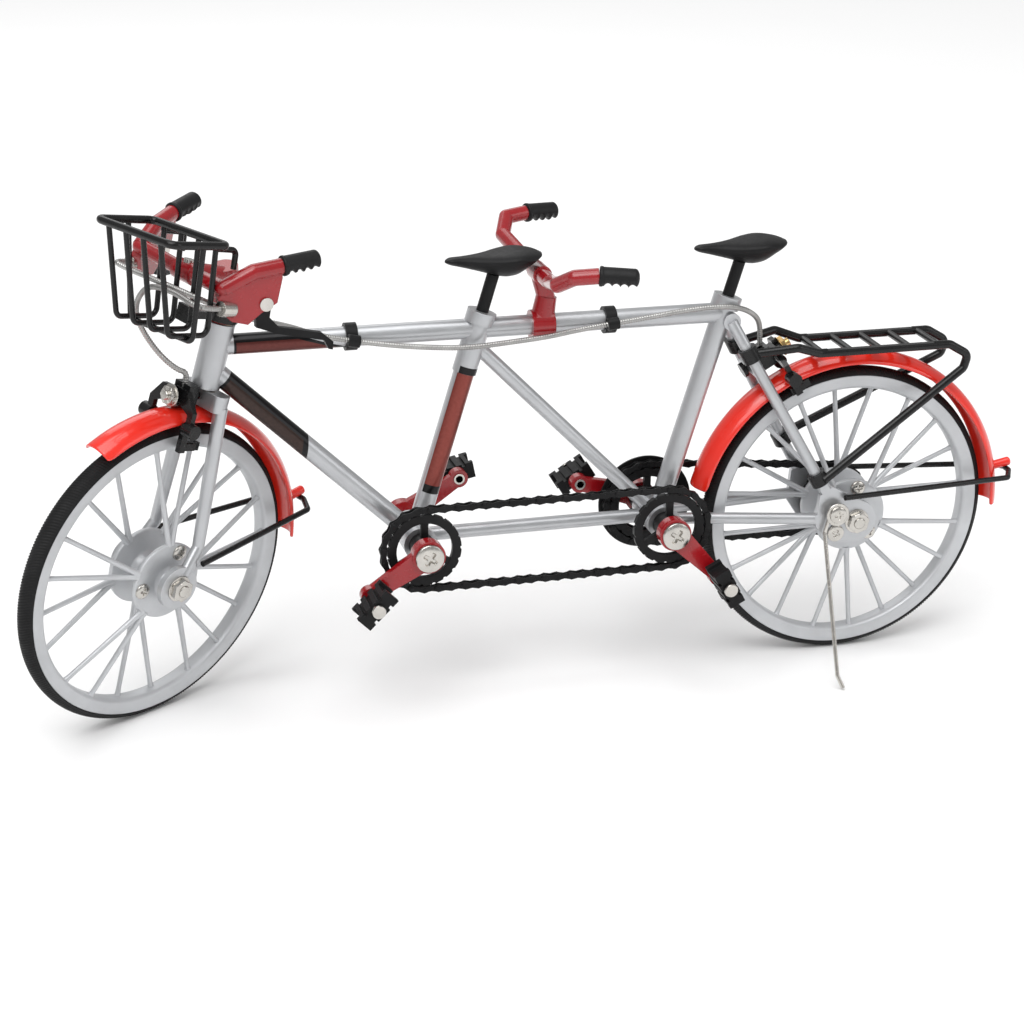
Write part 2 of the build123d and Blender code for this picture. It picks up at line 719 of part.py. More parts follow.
def brake_arm(side, layer_start, layer_thick, shoe_drop, shoe_shift):
    """A flat arm from the bolt round the fender, with the shoe's bolt and block at its foot."""
    x0 = layer_start
    outline = make_face(Polyline(
        (-0.6, 1.9), (side * 3.2, 1.7), (side * 6.0, -1.8), (side * 6.0, -6.2),
        (side * 4.5, -6.2), (side * 4.5, -2.6), (side * 2.2, -1.6), (-0.6, -1.9), close=True))
    arm = extrude(Plane.YZ.offset(x0) * outline, layer_thick)
    arm -= rod((x0 - 1, 0, 0), (x0 + layer_thick + 1, 0, 0), brake_bolt + running)
    mid = x0 + layer_thick / 2
    arm += rod((mid, side * 4.5, -5.4), (mid, side * 7.3, -5.4), 1.5)
    shoe_y = rim_half_width + shoe_gap
    shoe = Pos(mid + shoe_shift, side * (shoe_y + 0.6), -shoe_drop) * Box(4.6, 1.2, 1.7)
    stem = Pos(mid, side * (shoe_y + 1.7), (-5.4 - shoe_drop) / 2) * Box(1.5, 1.2, shoe_drop - 3.6)
    foot = Pos(mid + shoe_shift / 2, side * (shoe_y + 1.45), -shoe_drop) * Box(abs(shoe_shift) + 1.5, 0.7, 1.4)
    return arm + stem + shoe + foot


def relieved(arm):
    """A rear brake arm, cut back where it passes the fender's edge."""
    inner = fender_radius - fender_drop - 0.5
    side_room = fender_half_width + 0.35
    return arm - Location(rear_axle_point) * tube_across(fender_radius + 0.5, inner, -side_room, side_room)


# ---- steering assembly --------------------------------------------------------------
crown_top = head_tube_bottom - gap
crown_thick = 3.5
crown_bottom = crown_top - crown_thick
crown_half = 6.3
blade = 1.45
blade_tip = 1.15
steerer_top = 9.0


def fork_blade(side):
    """One blade: nearly straight, then sweeping forward to the fork end."""
    drop = wheel_drop
    points = [
        (-0.8, side * 5.0, crown_bottom + 1), (-1.6, side * 5.9, -26.0), (-2.3, side * 6.9, -41.0),
        (0.6, side * (dropout_in + 0.65), drop + 2.6),
    ]
    shape = rod(points[0], points[1], blade)
    shape += Location(points[1]) * Sphere(blade)
    shape += rod(points[1], points[2], blade, blade_tip + 0.1)
    shape += Location(points[2]) * Sphere(blade_tip + 0.1)
    shape += rod(points[2], points[3], blade_tip + 0.1, blade_tip)
    y0 = dropout_in if side > 0 else -dropout_in - dropout_thick
    shape += across(end_radius, y0, y0 + dropout_thick, fork_rake, drop)
    return shape


def fork():
    """Steerer, crown, blades and fork ends."""
    crown = Pos(-0.45, 0, (crown_top + crown_bottom) / 2) * Box(3.8, 2 * crown_half, crown_thick)
    crown = fillet(crown.edges().filter_by(Axis.Z), 1.7)
    body = crown + rod((0, 0, crown_top - 0.5), (0, 0, steerer_top), steerer)
    for side in (1, -1):
        body += fork_blade(side)
    body -= across(axle, -20, 20, fork_rake, wheel_drop)
    body -= rod((-5, 0, front_brake_height), (5, 0, front_brake_height), brake_bolt)
    return body


front_brake_height = crown_top - 1.6
front_brake_place = Location((0, 0, front_brake_height))

bar_middle = Vector(12.2, 0, 15.0)
bar_shoulder = Vector(13.9, 12.6, 15.8)
bar_radius = 1.5
stem_radius = 2.5
stem_knee = (0.8, 0, 13.0)
grip_radius = 1.9
grip_core = 1.1
grip_start = Vector(4.1, 16.5, 22.0)
grip_end = Vector(-3.3, 18.6, 24.6)
lever_root = (8.9, 14.4)        # lever pivot in the perch's own plane
barrel_start = Vector(11.4, 13.9, 12.15)
barrel_end = Vector(14.6, 13.9, 12.15)
barrel_radius = 1.5
perch_thick = 2.2
rivet = 0.7


def perch_plane(side):
    """The upright plane that holds a swept bar end and its lever."""
    direction = Vector(grip_start.X - bar_shoulder.X, side * (grip_start.Y - bar_shoulder.Y), 0).normalized()
    origin = (bar_shoulder.X, side * bar_shoulder.Y, 0)
    return Plane(origin=origin, x_dir=direction, z_dir=direction.cross(Vector(0, 0, 1)))


def perch(side):
    """Flat web under the swept bar that carries the lever and the cable's barrel."""
    plane = perch_plane(side)
    outline = make_face(Polyline(
        (-0.9, 13.8), (0.1, 16.0), (5.1, 20.6), (10.1, 22.2), (10.9, 20.0),
        (11.1, 15.0), (8.5, 12.6), (6.3, 9.8), (2.9, 9.9), (0.6, 11.2), close=True))
    return extrude(plane * outline, perch_thick / 2, both=True)


def mirrored_y(point, side):
    return Vector(point.X, side * point.Y, point.Z)


def pivot_pin(side, half, radius):
    """A pin through a perch at its lever's pivot."""
    plane = perch_plane(side)
    spot = plane.from_local_coords((lever_root[0], lever_root[1], 0))
    return rod(spot - plane.z_dir * half, spot + plane.z_dir * half, radius)


def gripped_bar(start, end, thick):
    """What remains of a swept bar once the grip's sleeve is fitted: (room for the sleeve, its core)."""
    reach = end - (end - start) * 0.12
    return rod(start, end, thick + 0.2), rod(start, reach, grip_core)


def handlebar():
    """One casting: stem, centre bar, swept ends and lever perches."""
    stem_low = head_tube_top + gap
    body = rod((0, 0, stem_low), stem_knee, stem_radius)
    body += rod((0.8, 0, 12.4), (2.6, 0, 16.6), stem_radius + 0.1)
    body += rod((1.6, 0, 14.2), bar_middle, 2.2, 2.0)
    body += rod(bar_middle - Vector(0, 2.6, 0), bar_middle + Vector(0, 2.6, 0), 2.1)
    for side in (1, -1):
        bend = Vector(9.2, side * 14.7, 20.0)
        first = mirrored_y(bar_shoulder, side)
        start = mirrored_y(grip_start, side)
        end = mirrored_y(grip_end, side)
        body += rod(bar_middle, first, bar_radius)
        body += Location(first) * Sphere(bar_radius)
        body += rod(first, bend, bar_radius + 0.1)
        body += Location(bend) * Sphere(bar_radius + 0.1)
        body += rod(bend, start, bar_radius + 0.1)
        body += perch(side)
        slot = make_face(Polyline((4.3, 8.0), (5.9, 13.2), (7.9, 16.9), (12.7, 16.9), (12.7, 8.0), close=True))
        body -= extrude(perch_plane(side) * slot, 0.75, both=True)
        body -= pivot_pin(side, 4, rivet)
        barrel_back = mirrored_y(barrel_start, side)
        body -= rod(barrel_back, barrel_back + Vector(14, 0, 0), barrel_radius)
        room, core = gripped_bar(start, end, grip_radius)
        body -= room
        body += core
    body -= rod((0, 0, 0), (0, 0, steerer_top), steerer)
    body -= rod(bar_middle + Vector(0, 0, 1), bar_middle + Vector(0, 0, 9), 1.1)
    return body


def handlebar_fasteners():
    """Lever rivets, the knurled cable barrels and the stem's clamp bolt."""
    pieces = [rod(bar_middle + Vector(0, 0, 1), bar_middle + Vector(0, 0, 2.5), 1.1)]
    half = perch_thick / 2
    for side in (1, -1):
        plane = perch_plane(side)
        spot = plane.from_local_coords((lever_root[0], lever_root[1], 0))
        pin = pivot_pin(side, half, rivet)
        for way in (1, -1):
            face = spot + plane.z_dir * (way * half)
            pin += rod(face, face + plane.z_dir * (way * 0.45), 1.35)
        pieces.append(pin)
        back = mirrored_y(barrel_start, side)
        front = mirrored_y(barrel_end, side)
        pieces.append(rod(back, front, barrel_radius) - rod(front - Vector(1.2, 0, 0), front + Vector(1, 0, 0), cable))
    return pieces


def grip(start, end):
    """Plain sleeve over a bar's end, closed at the tip."""
    return rod(start, end, grip_radius) - rod(start - (end - start) * 0.1, end - (end - start) * 0.12, grip_core)


def lever(side):
    """Brake lever: a bossed root in the perch's slot and a hooked blade under the grip."""
    px, pz = lever_root
    blade_outline = make_face(Polyline(
        (px - 1.4, pz + 0.2), (px - 0.2, pz + 1.3), (px + 1.3, pz + 0.2), (px + 1.6, pz - 2.6), (px + 4.0, pz - 4.2),
        (px + 13.2, pz - 4.0), (px + 16.0, pz - 5.4), (px + 16.3, pz - 7.0), (px + 15.4, pz - 7.0),
        (px + 14.0, pz - 5.4), (px + 4.0, pz - 5.6), (px - 0.6, pz - 5.0), (px - 1.0, pz - 3.4), close=True))
    blade_piece = extrude(perch_plane(side) * blade_outline, 0.65, both=True)
    return blade_piece - pivot_pin(side, 3, rivet + running)


def basket():
    """Open wire basket: a stout rim, wires that run under the floor, and two hooks."""
    low = -basket_depth
    rim_points = [
        (basket_length, basket_half, 0), (0, basket_half, 0), (0, -basket_half, 0), (basket_length, -basket_half, 0)]
    body = bent_wire(rim_points, basket_rim_wire, 1.6, closed=True)
    for k in range(4):
        y = (k - 1.5) * basket_wire_pitch
        body += bent_wire([
            (basket_length, y, 0), (basket_floor_front, y, low), (basket_floor_back, y, low), (0, y, 0),
        ], basket_wire, [1.6, 1.6])
        if k in (0, 3):
            body += bent_wire([(0, y, -1.3), (-5.4, y, -1.5), (-5.5, y, -5.2)], 0.6, [1.2])
            body += rod((0, y, -1.3), (0, y, 0), 0.6)
    x_rim = 0.45 * basket_length
    x_floor = (basket_floor_front + basket_floor_back) / 2
    below = low - 0.9
    body += bent_wire([
        (x_rim, basket_half, 0), (x_floor, basket_floor_half, below),
        (x_floor, -basket_floor_half, below), (x_rim, -basket_half, 0),
    ], basket_wire, [1.6, 1.6])
    return Location(basket_spot, basket_tilt) * body


def basket_bracket():
    """Collar on the stem with an arm and a plate behind the basket."""
    plate = Pos(10.0, 0, 6.5) * Box(1.0, 3.8, 3.4)
    bar = Pos(6.2, 0, 6.5) * Box(7.6, 2.4, 1.5)
    ring = rod((0, 0, 5.4), (0, 0, 7.8), 3.3)
    return plate + bar + ring - rod((0, 0, head_tube_top + gap), stem_knee, stem_radius)


def front_cable_route():
    """From the left lever through the basket, down past its floor to the front brake."""
    return [
        (13.4, 13.9, 12.15), (20.2, 13.9, 12.15), (19.4, 7.0, 12.5), (18.8, 1.6, 12.0), (17.8, -3.6, 10.6),
        (17.0, -6.6, 7.0), (16.0, -7.0, 3.4), (13.0, -6.3, -0.4), (10.0, -4.2, -3.7), (7.6, -1.2, -5.6),
        (5.6, 0.0, -5.8), (5.4, 0.0, -9.2),
    ]


def save_steering():
    """Everything that turns with the fork."""
    def placed(shape):
        items = shape if isinstance(shape, (list, tuple)) else [shape]
        return group([steer_place * s for s in items])
    save(placed(fork()), "fork")
    save(placed(handlebar()), "handlebar")
    save(placed(handlebar_fasteners()), "handlebar_fasteners")
    grips = [grip(mirrored_y(grip_start, s), mirrored_y(grip_end, s)) for s in (1, -1)]
    save(placed(grips), "handlebar_grips")
    save(placed(lever(1)), "left_brake_lever")
    save(placed(lever(-1)), "right_brake_lever")
    save(placed([basket(), basket_bracket()]), "basket")
    wheel_local = Location((fork_rake, 0, wheel_drop))
    mudguard = wheel_local * fender(front_fender_start, front_fender_end, front_peg_angle)
    save(placed(mudguard), "front_fender")
    foot_y = dropout_in + dropout_thick + stay_wire
    feet = [(-4.2, side * foot_y, 5.4) for side in (1, -1)]
    save(placed(wheel_local * fender_stays(front_peg_angle, *feet)), "front_fender_stays")
    bracket = brake_bracket(3.4, 6.0)
    bolt = pivot_bolt(-2.9, 8.6)
    hole = front_brake_place.inverse() * rod((5.6, 0, -5.8), (5.4, 0, -9.2), cable)
    save(placed([front_brake_place * (bracket - bolt - hole), front_brake_place * bolt]), "front_brake_bracket")
    save(placed(front_brake_place * brake_arm(1, 6.1, 1.1, 9.6, -3.0)), "front_brake_arm_left")
    save(placed(front_brake_place * brake_arm(-1, 7.3, 1.1, 9.6, -4.0)), "front_brake_arm_right")
    save(placed(held_cable(front_cable_route(), "front brake cable")), "front_brake_cable")
    save(group(axle_set(front_wheel_place, dropout_in + dropout_thick, dropout_in + dropout_thick)), "front_axle")


# ---- rear brake, cable and other frame fittings ---------------------------------------
def rear_cable_route():
    """From the right lever through the basket, round the head tube and along the top tube."""
    start = [
        (13.4, -13.9, 12.15), (18.4, -13.9, 12.15), (18.1, -10.9, 11.9), (17.3, -1.2, 12.3), (17.3, 7.6, 12.8),
        (14.0, 9.3, 11.9), (8.6, 10.0, 10.5), (0.4, 8.7, 8.5),
    ]
    points = [from_steering(p) for p in start]
    points += [Vector(p) for p in (
        (124.6, 6.0, 84.9), (117.0, 4.1, 81.4), (104.4, 3.4, 78.8), (95.4, 4.5, 77.9), (87.0, 5.2, 77.5),
        (78.4, 4.9, 78.0), (70.0, 4.4, 78.5), (63.0, 3.4, 79.3), (48.6, 3.0, 80.7), (41.2, 3.9, 82.0),
        (34.2, 4.9, 82.8), (28.4, 4.6, 82.2), (24.4, 3.2, 80.0), (22.4, 1.4, 77.2), (21.8, 0.4, 72.2),
    )]
    return points


clip_runs = (9, 15)             # straight runs of the rear cable's route that a clip holds


def clip_spots():
    """The middle of each held run, with the direction the cable takes there."""
    route = rear_cable_route()
    spots = []
    for k in clip_runs:
        spots.append(((route[k] + route[k + 1]) * 0.5, (route[k + 1] - route[k]).normalized()))
    return spots


def cable_clips():
    """Bands round the top tube that hold the rear brake's cable."""
    clips = []
    for spot, way in clip_spots():
        middle = Vector(spot.X, 0, top_tube_height)
        along = Vector(1.2, 0, 0)
        band = rod(middle - along, middle + along, main_tube + 0.75)
        band += rod(spot - way * 1.2, spot + way * 1.2, cable + 0.7)
        band -= rod(middle - along * 3, middle + along * 3, main_tube)
        band -= rod(spot - way * 4, spot + way * 4, cable)
        clips.append(band)
    return clips


stoker_x = 70.4
stoker_bar_height = 91.0
stoker_grip_start = Vector(66.6, 26.6, 97.0)
stoker_grip_end = Vector(59.0, 28.8, 96.6)


def stoker_handlebar():
    """Clamp on the top tube, short stem and a wide swept bar for the second rider."""
    body = rod((stoker_x - 2.4, 0, top_tube_height), (stoker_x + 2.4, 0, top_tube_height), main_tube + 1.0)
    body += rod((stoker_x, 0, top_tube_height), (69.4, 0, 86.0), 2.6, 2.2)
    body += rod((69.4, 0, 85.4), (71.0, 0, stoker_bar_height), 1.9)
    body += rod((71.0, -8, stoker_bar_height), (71.0, 8, stoker_bar_height), 1.6)
    body += rod((71.0, -2.6, stoker_bar_height), (71.0, 2.6, stoker_bar_height), 2.0)
    for side in (1, -1):
        bend = Vector(73.2, side * 20.6, 94.0)
        knee = Vector(71.2, side * 25.4, 96.6)
        start = mirrored_y(stoker_grip_start, side)
        end = mirrored_y(stoker_grip_end, side)
        body += rod((71.0, side * 8, stoker_bar_height), bend, 1.6)
        for spot in (bend, knee, Vector(71.0, side * 8, stoker_bar_height)):
            body += Location(spot) * Sphere(1.6)
        body += rod(bend, knee, 1.6)
        body += rod(knee, start, 1.6)
        room, core = gripped_bar(start, end, grip_radius)
        body -= room
        body += core
    return body - rod((stoker_x - 9, 0, top_tube_height), (stoker_x + 9, 0, top_tube_height), main_tube)


kick_wire = 0.45
frame_end = dropout_in + dropout_thick
kick_plane = frame_end + 0.6    # the leg swings clear of the lower screw's head
kick_foot = Vector(8.6, 23.2, kick_wire)


def kickstand():
    """Bent wire: an eye round its screw, a straight leg and a hooked foot."""
    eye_y0 = kick_plane
    eye_y1 = kick_plane + 2 * kick_wire
    eye = tube_across(2.0, 0.8 + running, eye_y0, eye_y1, kick_pivot.X, kick_pivot.Z)
    hip = Vector(kick_pivot.X + 1.5, kick_plane + kick_wire, kick_pivot.Z - 0.3)
    knee = Vector(7.9, kick_plane + kick_wire + 0.1, kick_pivot.Z - 4.2)
    ankle = Vector(8.4, 22.4, 2.9)
    leg = bent_wire([hip, knee, ankle, kick_foot + Vector(-1.2, 0.4, 0)], kick_wire, [1.2, 1.0])
    return eye + leg


def kickstand_screw():
    """Screw through the left frame end, with a broad washer head; a second screw below it."""
    x = kick_pivot.X
    z = kick_pivot.Z
    head = kick_plane + 2 * kick_wire + 0.15
    screw = across(0.8, dropout_in - 0.2, head, x, z) + across(2.6, head, head + 0.4, x, z)
    screw += across(1.6, head + 0.4, head + 1.0, x, z) + across(1.6, frame_end, kick_plane - 0.1, x, z)
    lower = across(2.0, frame_end, frame_end + 0.5, 4.9, wheel_radius - 2.4)
    return [screw, lower]


def save_frame():
    """The welded frame and everything bolted to it."""
    save(main_frame(), "main_frame")
    save(bearing_bushes(), "bearing_bushes")
    save(seat_collars(), "seat_collars")
    place = Location(rear_axle_point)
    save(group(place * fender(rear_fender_start, rear_fender_end, rear_peg_angle)), "rear_fender")
    left_foot = (3.6, dropout_in + dropout_thick + stay_wire + 0.35, 6.0)
    right_foot = (3.6, -(drive_dropout_in + dropout_thick + stay_wire + 0.35), 6.0)
    save(group(place * fender_stays(rear_peg_angle, left_foot, right_foot)), "rear_fender_stays")
    save(group(rear_rack()), "rear_rack")
    bracket = brake_bracket(-1.6, 1.7)
    bolt = pivot_bolt(-6.4, 4.7)
    route = rear_cable_route()
    hole = rear_brake_place.inverse() * rod(route[-2], route[-1] + (route[-1] - route[-2]), cable)
    block = bracket - bolt - hole
    save(group([rear_brake_place * block, rear_brake_place * bolt]), "rear_brake_bracket")
    save(group(relieved(rear_brake_place * brake_arm(1, -2.9, 1.1, 9.0, -1.0))), "rear_brake_arm_left")
    save(group(relieved(rear_brake_place * brake_arm(-1, -4.2, 1.1, 9.0, 0.0))), "rear_brake_arm_right")
    save(group(held_cable(rear_cable_route(), "rear brake cable")), "rear_brake_cable")
    save(group(cable_clips()), "cable_clips")
    left_face = dropout_in + dropout_thick
    right_face = drive_dropout_in + dropout_thick
    save(axle_set(Location(rear_axle_point), left_face, right_face), "rear_axle")
    save(group(stoker_handlebar()), "stoker_handlebar")
    grips = [grip(mirrored_y(stoker_grip_start, s), mirrored_y(stoker_grip_end, s)) for s in (1, -1)]
    save(group(grips), "stoker_grips")
    save(group(kickstand()), "kickstand")
    save(group(kickstand_screw()), "kickstand_screws")


save_wheel("rear", Location(rear_axle_point), drive_dropout_in - gap, 56.2)
save_wheel("front", front_wheel_place, dropout_in - gap, 10.8)
save_cranks()
save_seats()
save_frame()
save_steering()
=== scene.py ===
import math

import bmesh
import bpy
import numpy as np
from bpy.props import FloatProperty, FloatVectorProperty, IntProperty, PointerProperty
from mathutils import Matrix, Vector


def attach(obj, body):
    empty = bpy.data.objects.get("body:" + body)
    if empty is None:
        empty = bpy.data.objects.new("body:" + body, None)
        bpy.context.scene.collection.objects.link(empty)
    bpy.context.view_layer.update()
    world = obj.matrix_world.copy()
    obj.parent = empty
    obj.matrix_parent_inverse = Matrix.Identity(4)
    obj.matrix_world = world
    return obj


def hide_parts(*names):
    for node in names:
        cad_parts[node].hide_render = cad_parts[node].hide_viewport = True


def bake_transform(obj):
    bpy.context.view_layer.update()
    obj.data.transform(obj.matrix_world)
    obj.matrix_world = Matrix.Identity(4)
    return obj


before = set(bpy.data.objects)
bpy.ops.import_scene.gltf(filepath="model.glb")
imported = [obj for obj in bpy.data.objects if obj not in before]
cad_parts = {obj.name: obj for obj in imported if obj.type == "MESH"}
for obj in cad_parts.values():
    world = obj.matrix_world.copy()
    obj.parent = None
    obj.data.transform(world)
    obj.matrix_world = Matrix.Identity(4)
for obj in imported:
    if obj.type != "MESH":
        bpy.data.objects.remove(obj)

bl_info = {
    "name": "Tandem bicycle model",
    "version": (1, 0, 0),
    "blender": (4, 5, 0),
    "location": "3D View > Sidebar > Tandem",
    "description": "Finishes a small die-cast tandem bicycle: rubber, paint, plastic, plated steel and cable housings",
    "category": "Object",
}

MM = 0.001


# ---- places -------------------------------------------------------------------------
def turn_y(degrees):
    """The matrix that turns a vector about Y."""
    a = math.radians(degrees)
    return np.array([[math.cos(a), 0, math.sin(a)], [0, 1, 0], [-math.sin(a), 0, math.cos(a)]])


def turn_z(degrees):
    """The matrix that turns a vector about Z."""
    a = math.radians(degrees)
    return np.array([[math.cos(a), -math.sin(a), 0], [math.sin(a), math.cos(a), 0], [0, 0, 1]])


LEVEL = np.eye(3)
HEAD = (138.1, 0.0, 80.0)       # mm, where the steering axis meets the top tube
HEAD_LEAN = -15.5               # degrees the steering axis leans back
BARS_TURN = 32.4                # degrees the bars are turned to the left
WHEEL_RADIUS = 33.0
FORK_RAKE = 1.5
WHEEL_DROP = -49.4534           # the front axle below the head, along the steering axis
CRANK_HEIGHT = 35.45
FRONT_CRANK_X, REAR_CRANK_X = 97.3, 43.65
CRANK_LENGTH = 14.5
FRONT_CRANK_ANGLES = (-31.5, 148.5)     # left arm, right arm
REAR_CRANK_ANGLES = (226.0, 15.9)
FRONT_BRAKE_DROP = -10.6        # a caliper's bolt below the head, along the steering axis
REAR_BRAKE = (20.6, 0, 69.4)
REAR_BRAKE_TILT = 30            # degrees

STEER = (np.array(HEAD), turn_y(HEAD_LEAN) @ turn_z(BARS_TURN))
REAR_WHEEL = (np.array([0.0, 0.0, WHEEL_RADIUS]), LEVEL)
FRONT_WHEEL = (STEER[0] + STEER[1] @ np.array([FORK_RAKE, 0.0, WHEEL_DROP]), STEER[1])
FRONT_CRANK = (np.array([FRONT_CRANK_X, 0.0, CRANK_HEIGHT]), LEVEL)
REAR_CRANK = (np.array([REAR_CRANK_X, 0.0, CRANK_HEIGHT]), LEVEL)
WORLD = (np.zeros(3), LEVEL)


def placed(points, place):
    """Points of a local frame, in the bicycle's own frame: origin + matrix times point."""
    return place[0] + np.asarray(points, float) @ place[1].T


# ---- surfaces -----------------------------------------------------------------------
def skin(grid, ring=False, caps=True, uv_scale=1.0):
    """Quads over grid[i, j]: j goes once round a section and closes, i goes along; ring joins the last section to
    the first.
    Caps close the end sections with a fan to their middles. UV is the running length in mm and the share of a turn."""
    m, n = grid.shape[:2]
    index = np.arange(m * n).reshape(m, n)
    nxt = np.roll(index, -1, 0) if ring else index[1:]
    low = index if ring else index[:-1]
    quads = np.stack([low, np.roll(low, -1, 1), np.roll(nxt, -1, 1), nxt], -1).reshape(-1, 4)
    step = np.linalg.norm(np.diff(grid.mean(1), axis=0), axis=1) if not ring else np.full(m, 1.0)
    run = np.concatenate([[0], np.cumsum(step)])[: m + 1] * uv_scale
    rows = low.shape[0]
    u0 = np.repeat(run[:rows], n)
    u1 = np.repeat(run[1: rows + 1], n)
    v0 = np.tile(np.arange(n) / n, rows)
    v1 = v0 + 1 / n
    uv = np.stack([np.stack([u0, v0], -1), np.stack([u0, v1], -1), np.stack([u1, v1], -1), np.stack([u1, v0], -1)], 1)
    verts = grid.reshape(-1, 3)
    tris = np.zeros((0, 3), int)
    if caps and not ring:
        verts = np.concatenate([verts, grid[0].mean(0)[None], grid[-1].mean(0)[None]])
        a, b = index[0], index[-1]
        first = np.stack([np.full(n, m * n), np.roll(a, -1), a], -1)
        last = np.stack([np.full(n, m * n + 1), b, np.roll(b, -1)], -1)
        tris = np.concatenate([first, last])
    return outward({"v": verts, "q": quads, "t": tris, "uv": uv})


def outward(part):
    """Turns a closed part's faces outwards: the sum of a . (b x c) over its triangles is six times its volume."""
    q, t, v = part["q"], part["t"], part["v"]
    every = np.concatenate([q[:, [0, 1, 2]], q[:, [0, 2, 3]], t])
    a, b, c = v[every[:, 0]], v[every[:, 1]], v[every[:, 2]]
    if np.einsum("ij,ij->", a - v.mean(0), np.cross(b - v.mean(0), c - v.mean(0))) < 0:
        part["q"] = q[:, ::-1]
        part["t"] = t[:, ::-1]
        part["uv"] = part["uv"][:, ::-1]
    return part


def make_piece(name, parts, finish, body, stands_for=(), sharp=40, bend=None):
    """One object from closed parts in mm: shared vertices merged, smooth faces with sharp edges where they turn past
    an angle."""
    verts, faces, uvs, base = [], [], [], 0
    for p in parts:
        verts.append(p["v"])
        faces += (p["q"] + base).tolist() + (p["t"] + base).tolist()
        uvs.append(p["uv"].reshape(-1, 2))
        uvs.append(np.zeros((len(p["t"]) * 3, 2)))
        base += len(p["v"])
    mesh = bpy.data.meshes.new(name)
    mesh.from_pydata((np.concatenate(verts) * MM).tolist(), [], faces)
    layer = mesh.uv_layers.new(name="surface")
    layer.data.foreach_set("uv", np.concatenate(uvs).astype(np.float32).ravel())
    work = bmesh.new()
    work.from_mesh(mesh)
    bmesh.ops.remove_doubles(work, verts=work.verts, dist=1e-8)
    bmesh.ops.dissolve_degenerate(work, edges=work.edges, dist=1e-9)
    work.to_mesh(mesh)
    work.free()
    mesh.shade_smooth()
    mesh.set_sharp_from_angle(angle=math.radians(sharp))
    mesh.update()
    piece = bpy.data.objects.new(name, mesh)
    bpy.context.scene.collection.objects.link(piece)
    mesh.materials.append(finish)
    if bend:
        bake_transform(piece)
    else:
        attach(piece, body)
    if stands_for:
        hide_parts(*stands_for)
    return piece


def rounded(outline, radius, per=4):
    """A closed outline with each corner eased: the corner P between cut points A and B becomes
    (1-t)^2 A + 2t(1-t) P + t^2 B."""
    p = np.asarray(outline, float)
    before, after = np.roll(p, 1, 0) - p, np.roll(p, -1, 0) - p
    lb, la = np.linalg.norm(before, axis=1), np.linalg.norm(after, axis=1)
    cut = np.minimum(np.broadcast_to(radius, lb.shape), 0.45 * np.minimum(lb, la))
    a = p + before * (cut / lb)[:, None]
    b = p + after * (cut / la)[:, None]
    t = np.linspace(0, 1, per)[None, :, None]
    return ((1 - t) ** 2 * a[:, None] + 2 * t * (1 - t) * p[:, None] + t ** 2 * b[:, None]).reshape(-1, p.shape[1])


def lathe(outline, count, place):
    """A closed outline of (radius, y) turned round the place's Y axis: (r cos a, y, r sin a)."""
    o = np.asarray(outline, float)
    a = np.linspace(0, 2 * np.pi, count, endpoint=False)[:, None]
    grid = np.stack([o[:, 0] * np.cos(a), o[:, 1] + 0 * a, o[:, 0] * np.sin(a)], -1)
    return skin(placed(grid, place), ring=True)


def soft_route(points, step, per=24):
    """Parabolas between the middles of a route's runs, each drawn to its corner, resampled at an even step."""
    p = np.asarray(points, float)
    mid = (p[:-1] + p[1:]) / 2
    a, b, c = mid[:-1, None], p[1:-1, None], mid[1:, None]
    t = np.linspace(0, 1, per, endpoint=False)[None, :, None]
    path = ((1 - t) ** 2 * a + 2 * t * (1 - t) * b + t ** 2 * c).reshape(-1, 3)
    path = np.concatenate([p[:1], path, mid[-1:], p[-1:]])
    return even(path, step)


def even(path, step):
    """The same path with points at an even distance along it."""
    run = np.concatenate([[0], np.cumsum(np.linalg.norm(np.diff(path, axis=0), axis=1))])
    s = np.linspace(0, run[-1], max(3, int(round(run[-1] / step)) + 1))
    return np.stack([np.interp(s, run, path[:, k]) for k in range(3)], -1)


def frames(path):
    """Tangent, normal and binormal at each point; the normal leans to the direction that the tangents share least."""
    t = np.gradient(path, axis=0)
    t /= np.linalg.norm(t, axis=1)[:, None]
    ref = np.linalg.svd(t)[2][-1]
    n = ref - (t @ ref)[:, None] * t
    n /= np.linalg.norm(n, axis=1)[:, None]
    return t, n, np.cross(t, n)


def tube(path, radius, around=14, place=WORLD):
    """A section of radius r(i, angle) carried along a path: path + r (cos a normal + sin a binormal)."""
    path = placed(path, place)
    t, n, b = frames(path)
    a = np.linspace(0, 2 * np.pi, around, endpoint=False)
    spread = np.cos(a)[None, :, None] * n[:, None] + np.sin(a)[None, :, None] * b[:, None]
    if callable(radius):
        run = np.concatenate([[0], np.cumsum(np.linalg.norm(np.diff(path, axis=0), axis=1))])
        r = radius(run[:, None], a[None, :], spread)
    else:
        r = np.broadcast_to(np.asarray(radius, float).reshape(-1, 1), (len(path), around))
    return skin(path[:, None] + r[..., None] * spread)


def round_ended(path, radius, around=16, place=WORLD):
    """A tube whose radius closes as a half ellipse over its last length at both ends."""
    def closing(run, angle, spread):
        left = np.minimum(run, run[-1] - run)
        share = np.clip(left / (0.6 * radius), 0, 1)
        return radius * np.sqrt(np.clip(1 - (1 - share) ** 2, 0.0004, 1)) + 0 * angle
    return tube(path, closing, around, place)


def axis_place(origin, direction, place=WORLD):
    """A frame whose Y axis runs along a direction from an origin."""
    y = place[1] @ np.asarray(direction, float)
    y /= np.linalg.norm(y)
    x = np.cross(y, [0.31, 0.2, 0.93])
    x /= np.linalg.norm(x)
    return placed([origin], place)[0], np.stack([x, y, np.cross(x, y)], -1)


